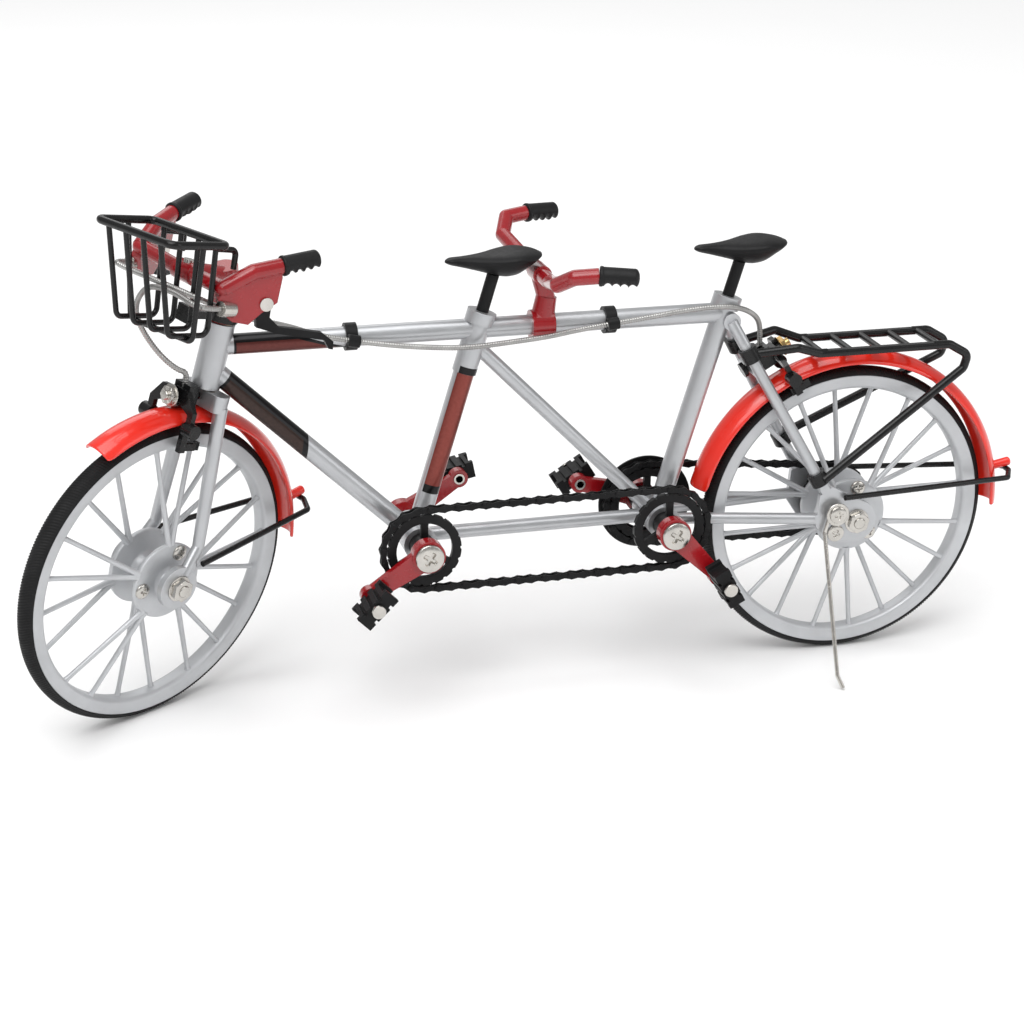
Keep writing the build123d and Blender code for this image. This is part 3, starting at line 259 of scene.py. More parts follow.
def turned(place, stations, around=96, flats=None, turn=0.0):
    """Sections (radius, y) stacked along the place's Y axis. With flats, a radius above 0 is held inside a hexagon:
    r = min(radius, flats / 2 / cos(angle folded to 30 degrees))."""
    s = np.asarray(stations, float)
    a = np.linspace(0, 2 * np.pi, around, endpoint=False)
    r = np.repeat(s[:, :1], around, 1)
    if flats:
        folded = (a + turn) % (np.pi / 3) - np.pi / 6
        r = np.where(s[:, 2:3] > 0, np.minimum(r, flats / 2 / np.cos(folded)), r)
    grid = np.stack([r * np.cos(a), np.repeat(s[:, 1:2], around, 1), r * np.sin(a)], -1)
    return skin(placed(grid, place))


def crossed_head(place, radius, height, recess=0.55, deep=0.55, spin=0.4, dome=0.35):
    """A screw's head: y = height (1 - dome rho^4) less a cross-shaped recess, where the smaller of |x|, |z| is under a bar's
    half width and the larger under its length; then its side down to y = 0."""
    rho = np.concatenate([[0.01], np.linspace(0.05, 0.94, 24), [0.975, 1.0]])[:, None]
    a = np.linspace(0, 2 * np.pi, 112, endpoint=False)[None]
    x, z = rho * np.cos(a - spin), rho * np.sin(a - spin)
    small, large = np.minimum(abs(x), abs(z)), np.maximum(abs(x), abs(z))
    inside = np.clip((0.15 - small) / 0.05, 0, 1) * np.clip((recess - large) / 0.1, 0, 1)
    inside = np.maximum(inside, np.clip((0.24 - rho) / 0.06, 0, 1))
    y = height * (1 - dome * rho ** 4) - deep * height * inside * (1 - 0.35 * large / recess)
    y[-1] = height * (1 - dome) - 0.06 * height
    grid = np.stack([radius * rho * np.cos(a), y, radius * rho * np.sin(a)], -1)
    foot = grid[-1:].copy()
    foot[..., 1] = 0
    return skin(placed(np.concatenate([grid, foot]), place))


# ---- finishes -----------------------------------------------------------------------
class Nodes:
    """Short-hand for a material's nodes and links."""

    def __init__(self, material):
        self.tree = material.node_tree
        self.tree.nodes.clear()

    def add(self, kind, **settings):
        node = self.tree.nodes.new(kind)
        for key, value in settings.items():
            setattr(node, key, value)
        return node

    def join(self, source, target):
        self.tree.links.new(source, target)

    def calc(self, operation, a, b=None, c=None, clamp=False):
        node = self.add("ShaderNodeMath", operation=operation, use_clamp=clamp)
        for socket, value in zip(node.inputs, (a, b, c)):
            if value is None:
                continue
            if isinstance(value, (int, float)):
                socket.default_value = value
            else:
                self.join(value, socket)
        return node.outputs[0]

    def noise(self, vector, scale, detail=3.0, rough=0.5):
        node = self.add("ShaderNodeTexNoise")
        node.inputs["Scale"].default_value = scale
        node.inputs["Detail"].default_value = detail
        node.inputs["Roughness"].default_value = rough
        self.join(vector, node.inputs["Vector"])
        return node.outputs["Fac"]

    def spread(self, value, low, high, to_low, to_high):
        node = self.add("ShaderNodeMapRange")
        self.join(value, node.inputs["Value"])
        for key, v in (("From Min", low), ("From Max", high), ("To Min", to_low), ("To Max", to_high)):
            node.inputs[key].default_value = v
        return node.outputs["Result"]

    def blend(self, factor, a, b):
        node = self.add("ShaderNodeMix", data_type="RGBA")
        self.join(factor, node.inputs[0])
        for socket, value in ((node.inputs[6], a), (node.inputs[7], b)):
            if isinstance(value, (tuple, list)):
                socket.default_value = (*value[:3], 1.0)
            else:
                self.join(value, socket)
        return node.outputs[2]


def make_finish(name, colour, metallic=0.0, rough=(0.3, 0.4), vary=0.08, patch=60.0, grain=2500.0, bump=0.02,
                edge=None, edge_radius=0.0001, coat=0.0, coat_rough=0.1, specular=0.5, marks=None, wear=0.5):
    """A surface finish: base colour that drifts in broad patches, roughness that varies in fine ones, a grain in its bump,
    eased edges, and a paler or darker tone where edges are rubbed."""
    material = bpy.data.materials.new(name)
    material.use_nodes = True
    n = Nodes(material)
    out = n.add("ShaderNodeOutputMaterial")
    shader = n.add("ShaderNodeBsdfPrincipled")
    n.join(shader.outputs[0], out.inputs[0])
    place = n.add("ShaderNodeTexCoord").outputs["Object"]
    broad = n.noise(place, patch, 4.0, 0.55)
    fine = n.noise(place, grain, 2.0, 0.6)
    dark = tuple(c * (1 - vary) for c in colour)
    pale = tuple(min(1.0, c * (1 + vary) + 0.2 * vary * 0.05) for c in colour)
    tone = n.blend(n.spread(broad, 0.3, 0.7, 0, 1), dark, pale)
    smooth_edge = n.add("ShaderNodeBevel", samples=4)
    smooth_edge.inputs["Radius"].default_value = edge_radius
    if marks:
        tone = marks(n, place, tone)
    if edge:
        product = n.add("ShaderNodeVectorMath", operation="DOT_PRODUCT")
        n.join(smooth_edge.outputs[0], product.inputs[0])
        n.join(n.add("ShaderNodeNewGeometry").outputs["Normal"], product.inputs[1])
        turned_away = n.spread(product.outputs["Value"], 0.985, 0.85, 0, 1)
        rubbed = n.calc("MULTIPLY", turned_away, n.spread(n.noise(place, 900.0, 4.0, 0.65), 0.42, 0.62, 0, wear),
                clamp=True)
        tone = n.blend(rubbed, tone, edge)
    n.join(tone, shader.inputs["Base Color"])
    shader.inputs["Metallic"].default_value = metallic
    shader.inputs["Specular IOR Level"].default_value = specular
    shader.inputs["Coat Weight"].default_value = coat
    shader.inputs["Coat Roughness"].default_value = coat_rough
    n.join(n.spread(n.noise(place, patch * 6, 5.0, 0.6), 0.3, 0.7, *rough), shader.inputs["Roughness"])
    relief = n.add("ShaderNodeBump")
    relief.inputs["Strength"].default_value = 1.0
    relief.inputs["Distance"].default_value = bump * MM
    n.join(fine, relief.inputs["Height"])
    n.join(smooth_edge.outputs[0], relief.inputs["Normal"])
    n.join(relief.outputs[0], shader.inputs["Normal"])
    return material


def transfer_bands(n, place, paint):
    """Plain colour bands on the silver tubes: a black-edged brown flash on the top and down tubes, and a brick-red panel
    between two black bands on the front seat tube. Each is a window in distance along its tube and height across it."""
    split = n.add("ShaderNodeSeparateXYZ")
    n.join(place, split.inputs[0])
    x, y, z = (n.calc("MULTIPLY", split.outputs[k], 1000.0) for k in range(3))

    def along(px, pz, dx, dz):
        return n.calc("ADD", n.calc("MULTIPLY", n.calc("SUBTRACT", x, px), dx),
                n.calc("MULTIPLY", n.calc("SUBTRACT", z, pz), dz))

    def within(value, low, high):
        a = n.spread(value, low - 0.04, low + 0.04, 0, 1)
        b = n.spread(value, high - 0.04, high + 0.04, 1, 0)
        return n.calc("MULTIPLY", a, b)

    def both(*masks):
        total = masks[0]
        for m in masks[1:]:
            total = n.calc("MULTIPLY", total, m)
        return total

    grainy = n.noise(place, 1500.0, 3.0, 0.6)
    brown = n.blend(n.spread(grainy, 0.3, 0.7, 0, 1), (0.105, 0.022, 0.018), (0.135, 0.030, 0.024))
    umber = n.blend(n.spread(grainy, 0.3, 0.7, 0, 1), (0.030, 0.017, 0.014), (0.045, 0.025, 0.020))
    brick = n.blend(n.spread(grainy, 0.3, 0.7, 0, 1), (0.215, 0.040, 0.030), (0.25, 0.050, 0.038))
    ink = (0.006, 0.006, 0.007)
    # top tube: t runs back from the head, h up
    t, h = n.calc("SUBTRACT", 134.6, x), n.calc("SUBTRACT", z, 80.0)
    slant = n.calc("ADD", t, n.calc("MULTIPLY", h, 3.2))
    near = within(h, -2.2, 2.3)
    paint = n.blend(both(near, within(t, 0, 26), within(slant, -20, 17.6)), paint, ink)
    paint = n.blend(both(within(h, -2.3, 0.75), within(t, 0.5, 26), within(slant, -20, 15.4)), paint, brown)
    # down tube
    t, h = along(138.9, 75.1, -0.7234, -0.6905), along(138.9, 75.1, -0.6905, 0.7234)
    h = n.calc("MULTIPLY", h, -1.0)
    slant = n.calc("SUBTRACT", t, n.calc("MULTIPLY", h, 0.75))
    near = both(within(h, -2.3, 2.3), within(t, 3.2, 40))
    paint = n.blend(both(near, within(slant, -9, 26.0)), paint, ink)
    paint = n.blend(both(within(h, -0.9, 2.3), within(t, 3.8, 40), within(slant, -9, 24.6)), paint, umber)
    # front seat tube
    t, h = along(97.3, 35.45, -0.2840, 0.9588), along(97.3, 35.45, 0.9588, 0.2840)
    near = both(within(h, -2.4, 1.75), within(y, -1.2, 3.0))
    paint = n.blend(both(near, within(t, 10.2, 38.4)), paint, ink)
    paint = n.blend(both(near, within(t, 12.0, 36.8)), paint, brick)
    return paint


def finish_nodes(finish, *names):
    """Gives CAD nodes a finish in every material slot."""
    for name in names:
        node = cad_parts[name]
        if not node.material_slots:
            node.data.materials.append(finish)
        for slot in node.material_slots:
            slot.material = finish


FINISH = {}


# ---- what a user may change ----------------------------------------------------------
class TandemSizes(bpy.types.PropertyGroup):
    tyre_ribs: IntProperty(name="Tyre ribs", description="Fine cross ribs round each tyre", default=330, min=60,
            max=500)
    rib_depth: FloatProperty(name="Rib depth", description="How deep the tyre's grooves are", default=0.00014,
            unit="LENGTH", precision=6)
    cable_pitch: FloatProperty(name="Cable pitch", description="Pitch of the wire wound round a cable's core",
            default=0.00052, unit="LENGTH", precision=6)
    cable_radius: FloatProperty(name="Cable radius", description="Outer radius of a cable's housing", default=0.0006,
            unit="LENGTH", precision=6)
    spoke_radius: FloatProperty(name="Spoke radius", description="Radius of a spoke half way along", default=0.00054,
            unit="LENGTH", precision=6)
    grip_scallops: IntProperty(name="Grip scallops", description="Finger hollows under each grip", default=4, min=1,
            max=8)
    chain_pitch: FloatProperty(name="Chain pitch", description="Distance from pin to pin", default=0.0029,
            unit="LENGTH", precision=6)


class TandemColours(bpy.types.PropertyGroup):
    silver: FloatVectorProperty(name="Silver paint", description="Frame, fork, rims and spokes", subtype="COLOR",
            size=3, default=(0.50, 0.51, 0.525))
    orange: FloatVectorProperty(name="Fender plastic", description="Moulded fenders", subtype="COLOR", size=3,
            default=(0.80, 0.024, 0.012))
    red: FloatVectorProperty(name="Red paint", description="Handlebars and cranks", subtype="COLOR", size=3,
            default=(0.31, 0.005, 0.009))
    black: FloatVectorProperty(name="Black plastic", description="Saddles, pedals, chains and grips", subtype="COLOR",
            size=3, default=(0.0075, 0.0075, 0.008))
    nickel: FloatVectorProperty(name="Nickel", description="Screws, nuts and cable ends", subtype="COLOR", size=3,
            default=(0.56, 0.54, 0.505))
    steel: FloatVectorProperty(name="Wound steel", description="Cable housings", subtype="COLOR", size=3,
            default=(0.40, 0.395, 0.385))
    brass: FloatVectorProperty(name="Brass", description="Bearing bushes and the rear brake nut", subtype="COLOR",
            size=3, default=(0.62, 0.42, 0.18))
    rubber: FloatVectorProperty(name="Rubber", description="Tyres", subtype="COLOR", size=3,
            default=(0.012, 0.012, 0.0125))


class TANDEM_OT_finishes(bpy.types.Operator):
    """Mixes the finishes that the pieces share"""

    bl_idname = "tandem.finishes"
    bl_label = "Finishes"

    def execute(self, context):
        c = context.scene.tandem_colours
        silver = dict(metallic=0.72, rough=(0.30, 0.40), vary=0.05, patch=90.0, grain=9000.0, bump=0.006,
                      edge=(0.75, 0.75, 0.76), coat=0.25, coat_rough=0.12, wear=0.6)
        FINISH["silver"] = make_finish("silver_paint", tuple(c.silver), **silver)
        FINISH["frame"] = make_finish("silver_paint_with_bands", tuple(c.silver), marks=transfer_bands, **silver)
        FINISH["cast"] = make_finish("silver_cast_wheel", tuple(v * 1.08 for v in c.silver), metallic=0.45,
                rough=(0.36, 0.50),
                                     vary=0.07, patch=120.0, grain=5000.0, bump=0.012, edge=(0.7, 0.7,
                                             0.71), wear=0.5)
        FINISH["orange"] = make_finish("orange_red_plastic", tuple(c.orange), rough=(0.16, 0.26), vary=0.05,
                patch=40.0,
                                       grain=1800.0, bump=0.004, edge=(0.9, 0.12,
                                               0.07), coat=0.5, coat_rough=0.06, wear=0.35)
        FINISH["red"] = make_finish("deep_red_paint", tuple(c.red), rough=(0.18, 0.30), vary=0.10, patch=140.0,
                                    grain=2600.0, bump=0.010, edge=(0.45, 0.03,
                                            0.03), edge_radius=0.00045, coat=0.6, coat_rough=0.07, specular=0.4, wear=0.2)
        FINISH["black"] = make_finish("black_plastic", tuple(c.black), rough=(0.34, 0.48), vary=0.25, patch=150.0,
                                      grain=4200.0, bump=0.012, edge=(0.035, 0.035,
                                              0.036), edge_radius=0.00016, wear=0.45, specular=0.17)
        FINISH["enamel"] = make_finish("black_enamel", tuple(v * 0.8 for v in c.black), rough=(0.20, 0.34), vary=0.25,
                patch=150.0,
                                       grain=3000.0, bump=0.008, edge=(0.035, 0.034,
                                               0.033), coat=0.25, coat_rough=0.12, specular=0.2, wear=0.3)
        FINISH["saddle"] = make_finish("saddle_skin", tuple(v * 1.1 for v in c.black), rough=(0.40, 0.52), vary=0.2,
                patch=110.0,
                                       grain=2600.0, bump=0.03, edge=(0.03, 0.03, 0.03), wear=0.5, specular=0.18)
        FINISH["rubber"] = make_finish("tyre_rubber", tuple(c.rubber), rough=(0.48, 0.66), vary=0.25, patch=90.0,
                                       grain=3200.0, bump=0.02, edge=(0.045, 0.045, 0.046), wear=0.5, specular=0.16)
        FINISH["grip"] = make_finish("grip_rubber", tuple(v * 1.1 for v in c.rubber), rough=(0.36, 0.5), vary=0.2,
                patch=200.0,
                                     grain=4800.0, bump=0.016, edge=(0.04, 0.04, 0.04), wear=0.6, specular=0.17)
        FINISH["nickel"] = make_finish("nickel_steel", tuple(c.nickel), metallic=1.0, rough=(0.14, 0.30), vary=0.10,
                patch=300.0,
                                       grain=5200.0, bump=0.006, edge=(0.9, 0.88, 0.84), wear=0.5)
        FINISH["steel"] = make_finish("wound_steel", tuple(c.steel), metallic=1.0, rough=(0.26, 0.42), vary=0.14,
                                      patch=260.0, grain=6000.0, bump=0.006, edge=(0.85, 0.83, 0.8), wear=0.4)
        FINISH["brass"] = make_finish("bush_brass", tuple(c.brass), metallic=1.0, rough=(0.25, 0.4), vary=0.12,
                patch=260.0,
                                      grain=4000.0, bump=0.008, edge=(0.8, 0.62, 0.35))
        return {"FINISHED"}


class TANDEM_OT_tyres(bpy.types.Operator):
    """Ribbed rubber tyres"""

    bl_idname = "tandem.tyres"
    bl_label = "Tyres"

    def execute(self, context):
        s = context.scene.tandem_sizes
        for name, place, body in (("rear_tyre", REAR_WHEEL, "rear_wheel"),
                ("front_tyre", FRONT_WHEEL, "front_wheel")):
            part = self.tread(s.tyre_ribs, s.rib_depth / MM, place)
            make_piece(name + "_rubber", [part], FINISH["rubber"], body, (name,), sharp=60)
        return {"FINISHED"}

    @staticmethod
    def tread(ribs, depth, place):
        """A half-round section round the wheel: radius 2.46 about (30.54, 0), with ribs of four stations, two high and two
        low, that lean across the tread by an angle in step with y, and fade out at the shoulders."""
        phi = np.radians(np.linspace(-69, 69, 19))
        r_out, y_out = 30.54 + 2.46 * np.cos(phi), 2.46 * np.sin(phi)
        foot = np.array([[31.42, 1.55], [30.62, 1.45], [30.62, -1.45], [31.42, -1.55]])
        r = np.concatenate([r_out, foot[:, 0]])
        y = np.concatenate([y_out, foot[:, 1]])
        fade = np.concatenate([np.clip((np.radians(64) - abs(phi)) / np.radians(14), 0, 1), np.zeros(4)])
        i = np.arange(ribs * 4)
        low = np.where((i % 4) < 2, 0.0, 1.0)[:, None]
        angle = (i * 2 * np.pi / len(i))[:, None] + np.where(np.arange(len(y)) < 19, 0.012 * y, 0.0)[None]
        radius = r[None] - depth * low * fade[None]
        width = y[None] * (1 - 0.03 * low * fade[None])
        grid = np.stack([radius * np.cos(angle), width, radius * np.sin(angle)], -1)
        return skin(placed(grid, place), ring=True)


class TANDEM_OT_wheels(bpy.types.Operator):
    """Rims, paired spokes and hubs"""

    bl_idname = "tandem.wheels"
    bl_label = "Wheels"

    def execute(self, context):
        s = context.scene.tandem_sizes
        rim = rounded([
            (31.35, 2.2), (28.7, 2.0), (28.2, 1.2), (28.2, -1.2), (28.7, -2.0), (31.35, -2.2),
            (31.35, -1.65), (30.5, -1.55), (30.5, 1.55), (31.35, 1.65)],
            [0.2, 0.5, 0.6, 0.6, 0.5, 0.2, 0.1, 0.1, 0.1, 0.1], 5)
        wheels = (("rear", REAR_WHEEL, "rear_wheel", 56.2, 8.1), ("front", FRONT_WHEEL, "front_wheel", 10.8, 6.7))
        for name, place, body, phase, right in wheels:
            make_piece(name + "_rim_cast", [lathe(rim, 220, place)], FINISH["cast"], body, (name + "_rim",))
            make_piece(name + "_spokes_cast", self.spokes(phase, s.spoke_radius / MM, place), FINISH["cast"], body,
                    (name + "_spokes",), sharp=60)
            hub = rounded([
                (1.25, 6.7), (2.4, 6.7), (2.4, 5.0), (3.3, 4.4), (8.2, 4.4), (8.2, 3.4), (3.6, 3.0), (2.8, 1.8),
                (2.8, -1.8), (3.6, -3.0), (8.2, -3.4), (8.2, -4.4), (3.3, -4.4), (2.4, -5.0),
                (2.4, -right), (1.25, -right)], 0.3, 4)
            make_piece(name + "_hub_cast", [lathe(hub, 120, place)], FINISH["cast"], body, (name + "_hub",))
        return {"FINISHED"}

    @staticmethod
    def spokes(phase, thick, place):
        """Ten pairs from root to rim; radius = thick (1.12 - 0.2 t) plus flares that die away from both ends."""
        parts = []
        for k in range(10):
            centre, side = phase + 36 * k, 1 if k % 2 == 0 else -1
            for way in (-1, 1):
                low, high = math.radians(centre + 2 * way), math.radians(centre + 9 * way)
                a = np.array([7.7 * math.cos(low), side * 3.8, 7.7 * math.sin(low)])
                b = np.array([28.5 * math.cos(high), side * 0.7, 28.5 * math.sin(high)])
                t = np.concatenate([np.linspace(0, 0.2, 7), np.linspace(0.3, 0.85, 5), np.linspace(0.9, 1, 8)])
                t = t[:, None]
                length = np.linalg.norm(b - a)
                root_flare, tip_flare = 0.25 * np.exp(-t * length / 1.2), 0.28 * np.exp(-(1 - t) * length / 0.55)
                r = thick * (1.12 - 0.2 * t) + root_flare + tip_flare
                parts.append(tube(a + (b - a) * t, r[:, 0], 12, place))
        return parts


class TANDEM_OT_fenders(bpy.types.Operator):
    """Moulded fenders with their stay lugs"""

    bl_idname = "tandem.fenders"
    bl_label = "Fenders"

    def execute(self, context):
        for name, place, body, start, end, peg in (
                ("rear_fender", REAR_WHEEL, "frame", 13, 182, 169),
                ("front_fender", FRONT_WHEEL, "steering", 50, 168, 155.5)):
            make_piece(name + "_shell", [self.shell(start, end, place), self.lug(peg, place)], FINISH["orange"], body,
                    (name,), sharp=50)
        return {"FINISHED"}

    @staticmethod
    def shell(start, end, place):
        """A C section of radius 4.61 about (32.19, 0), 0.7 thick with round lips, carried round the wheel. Its thickness
        closes as a half circle at both ends, where its width also draws in by a rounded corner."""
        phi = np.radians(np.linspace(-55.5, 55.5, 33))
        lip = np.radians(np.linspace(90, -90, 5)[1:-1])
        thick = 0.35
        outer = [(p, 1.0) for p in phi]
        edge = math.radians(55.5)
        lip_out = [(edge + thick / 4.26 * math.cos(q), math.sin(q)) for q in lip]
        lip_in = [(-edge - thick / 4.26 * math.cos(q), -math.sin(q)) for q in lip]
        inner = [(p, -1.0) for p in phi[::-1]]
        around = np.array(outer + lip_out + inner + lip_in)
        u = np.linspace(0, 1, 6)
        tip = 0.35 * (1 - np.cos(u * np.pi / 2)) / 36 * 57.3
        stations = np.concatenate([start + tip, np.arange(start + 1.2, end - 1.1, 1.2), (end - tip)[::-1]])
        left = np.minimum(stations - start, end - stations) * math.radians(36)
        half = thick * np.sqrt(np.clip(1 - (1 - np.clip(left / thick, 0, 1)) ** 2, 0, 1))
        narrow = 1 - 0.16 * (1 - np.sqrt(np.clip(1 - (1 - np.clip(left / 1.6, 0, 1)) ** 2, 0, 1)))
        p = around[None, :, 0] * narrow[:, None]
        depth = 4.26 + around[None, :, 1] * half[:, None]
        r, y = 32.19 + depth * np.cos(p), depth * np.sin(p)
        a = np.radians(stations)[:, None]
        return skin(placed(np.stack([r * np.cos(a), y, r * np.sin(a)], -1), place), caps=False)

    @staticmethod
    def lug(angle, place):
        """A round-ended peg that stands out from the crown."""
        a = math.radians(angle)
        way = np.array([math.cos(a), 0, math.sin(a)])
        return round_ended(even(np.array([way * 36.0, way * 41.1]), 0.12), 1.0, 20, place)


class TANDEM_OT_saddles(bpy.types.Operator):
    """Padded saddles"""

    bl_idname = "tandem.saddles"
    bl_label = "Saddles"

    def execute(self, context):
        for name, top, body in (("front_saddle", (80.67, 91.6), "front_seat"),
                ("rear_saddle", (27.10, 91.3), "rear_seat")):
            part = self.pad((np.array([top[0], 0, top[1]]), LEVEL))
            piece = make_piece(name + "_pad", [part], FINISH["saddle"], body, (name,), sharp=70)
        return {"FINISHED"}

    @staticmethod
    def pad(place):
        """Sections along x: half width w(x) is an ellipse behind, a cosine fall to the nose and a circle at its tip; the top
        follows z_top and the belly z_low, and each section is a superellipse that is squarer above than below."""
        x = -4 - 6 * np.cos(np.linspace(0, np.pi / 2, 18))
        x = np.concatenate([x, np.linspace(-4, 8.6, 26)[1:], 8.6 + 1.7 * np.sin(np.linspace(0, np.pi / 2, 10))[1:]])
        u = np.clip((x + 4) / 12.6, 0, 1)
        w = 1.55 + 4.25 * (0.5 + 0.5 * np.cos(np.pi * u ** 0.92))
        w = np.where(x < -4, 5.8 * np.sqrt(np.clip(1 - ((x + 4) / 6) ** 2, 1e-4, 1)), w)
        w = np.where(x > 8.6, 1.55 * np.sqrt(np.clip(1 - ((x - 8.6) / 1.7) ** 2, 1e-3, 1)), w)
        top = np.interp(x, [-10, -8.6, -6.5, -4.5, -1, 1.5, 6, 9, 9.9, 10.3],
                [3.7, 4.25, 4.62, 4.7, 4.3, 3.95, 3.65, 3.5, 3.2, 2.75])
        low = np.interp(x, [-10, -9, -7.4, -5, -2.5, 0, 2.4, 6, 9.5, 10.3],
                [3.35, 2.4, 1.3, -0.7, -1.05, -0.6, 0.2, 1.2, 2.1, 2.6])
        kernel = np.array([1, 2, 3, 2, 1]) / 9
        top = np.convolve(np.pad(top, 2, mode="edge"), kernel, "valid")
        low = np.convolve(np.pad(low, 2, mode="edge"), kernel, "valid")
        a = np.linspace(0, 2 * np.pi, 64, endpoint=False)[None]
        c, s = np.cos(a), np.sin(a)
        waist = top - 0.42 * np.minimum(top - low, 3.2)
        up = (top - waist)[:, None] * abs(s) ** 0.85
        down = (waist - low)[:, None] * abs(s) ** 1.6
        y = w[:, None] * np.sign(c) * np.where(s > 0, abs(c) ** 0.72, abs(c) ** 1.25)
        z = waist[:, None] + np.where(s > 0, up, -down)
        grid = np.stack([np.repeat(x[:, None], 64, 1), y, z], -1)
        return skin(placed(grid, place))


class TANDEM_OT_grips(bpy.types.Operator):
    """Grips with finger hollows"""

    bl_idname = "tandem.grips"
    bl_label = "Grips"

    def execute(self, context):
        count = context.scene.tandem_sizes.grip_scallops
        front = [self.grip((4.1, 16.5 * k, 22.0), (-3.3, 18.6 * k, 24.6), count, STEER) for k in (1, -1)]
        make_piece("handlebar_grips_moulded", front, FINISH["grip"], "steering", ("handlebar_grips",),
                sharp=50)
        back = [self.grip((66.6, 26.6 * k, 97.0), (59.0, 28.8 * k, 96.6), count, WORLD) for k in (1, -1)]
        make_piece("stoker_grips_moulded", back, FINISH["grip"], "frame", ("stoker_grips",), sharp=50)
        return {"FINISHED"}

    @staticmethod
    def grip(start, end, count, place):
        """Radius 1.9 with a collar at its root and a round tip, less a scallop for each
        finger: 0.62 times a sine to the power 0.7 along the grip, on the side that faces down."""
        path = even(np.array([start, end], float), 0.1)

        def radius(run, angle, spread):
            length = run[-1, 0]
            down = np.clip(-spread[..., 2], 0, 1) ** 0.6
            share = np.clip((run - 1.0) / (length - 1.5), 0, 1)
            hollow = 0.62 * abs(np.sin(np.pi * count * share)) ** 0.7 * down
            collar = 0.12 * np.clip((0.8 - run) / 0.2, 0, 1)
            tip = np.sqrt(np.clip(1 - (1 - np.clip((length - run) / 1.0, 0, 1)) ** 2, 0.002, 1))
            root = np.clip(0.86 + run / 0.9, 0, 1)
            return (1.9 + collar - hollow) * tip * root

        return tube(path, radius, 40, place)


class TANDEM_OT_cables(bpy.types.Operator):
    """Wound-steel brake cable housings"""

    bl_idname = "tandem.cables"
    bl_label = "Cables"

    def execute(self, context):
        s = context.scene.tandem_sizes
        start = [(13.4, -13.9, 12.15), (18.4, -13.9, 12.15), (18.1, -10.9, 11.9), (17.3, -1.2, 12.3),
                (17.3, 7.6, 12.8),
                 (14.0, 9.3, 11.9), (8.6, 10.0, 10.5), (0.4, 8.7, 8.5)]
        rest = [(124.6, 6.0, 84.9), (117.0, 4.1, 81.4), (104.4, 3.4, 78.8), (95.4, 4.5, 77.9), (87.0, 5.2, 77.5),
                (78.4, 4.9, 78.0), (70.0, 4.4, 78.5), (63.0, 3.4, 79.3), (48.6, 3.0, 80.7), (41.2, 3.9, 82.0),
                (34.2, 4.9, 82.8), (28.4, 4.6, 82.2), (24.4, 3.2, 80.0), (22.4, 1.4, 77.2), (21.8, 0.4, 72.2)]
        rear = np.concatenate([placed(start, STEER), np.array(rest)])
        make_piece("rear_brake_cable_wound", [self.wound(rear, s)], FINISH["steel"], None, ("rear_brake_cable",),
                sharp=180,
                   bend=("steering", "frame", (0.135, 0.011, 0.0895), (0.1175, 0.0042, 0.0816)))
        front = [(13.4, 13.9, 12.15), (20.2, 13.9, 12.15), (19.4, 7.0, 12.5), (18.8, 1.6, 12.0), (17.8, -3.6, 10.6),
                 (17.0, -6.6, 7.0), (16.0, -7.0, 3.4), (13.0, -6.3, -0.4), (10.0, -4.2, -3.7), (7.6, -1.2, -5.6),
                 (5.6, 0.0, -5.8), (5.4, 0.0, -9.2)]
        make_piece("front_brake_cable_wound", [self.wound(placed(front, STEER), s)], FINISH["steel"], "steering",
                ("front_brake_cable",), sharp=180)
        return {"FINISHED"}

    @staticmethod
    def wound(points, s):
        """A round section along the route whose radius falls in a screw thread:
        r = R - 0.05 (1 + cos(2 pi s / pitch - angle))."""
        pitch, big = s.cable_pitch / MM, s.cable_radius / MM
        path = soft_route(points, pitch / 6)
        return tube(path, lambda run, angle, spread: big - 0.05 * (1 + np.cos(2 * np.pi * run / pitch - angle)), 12)


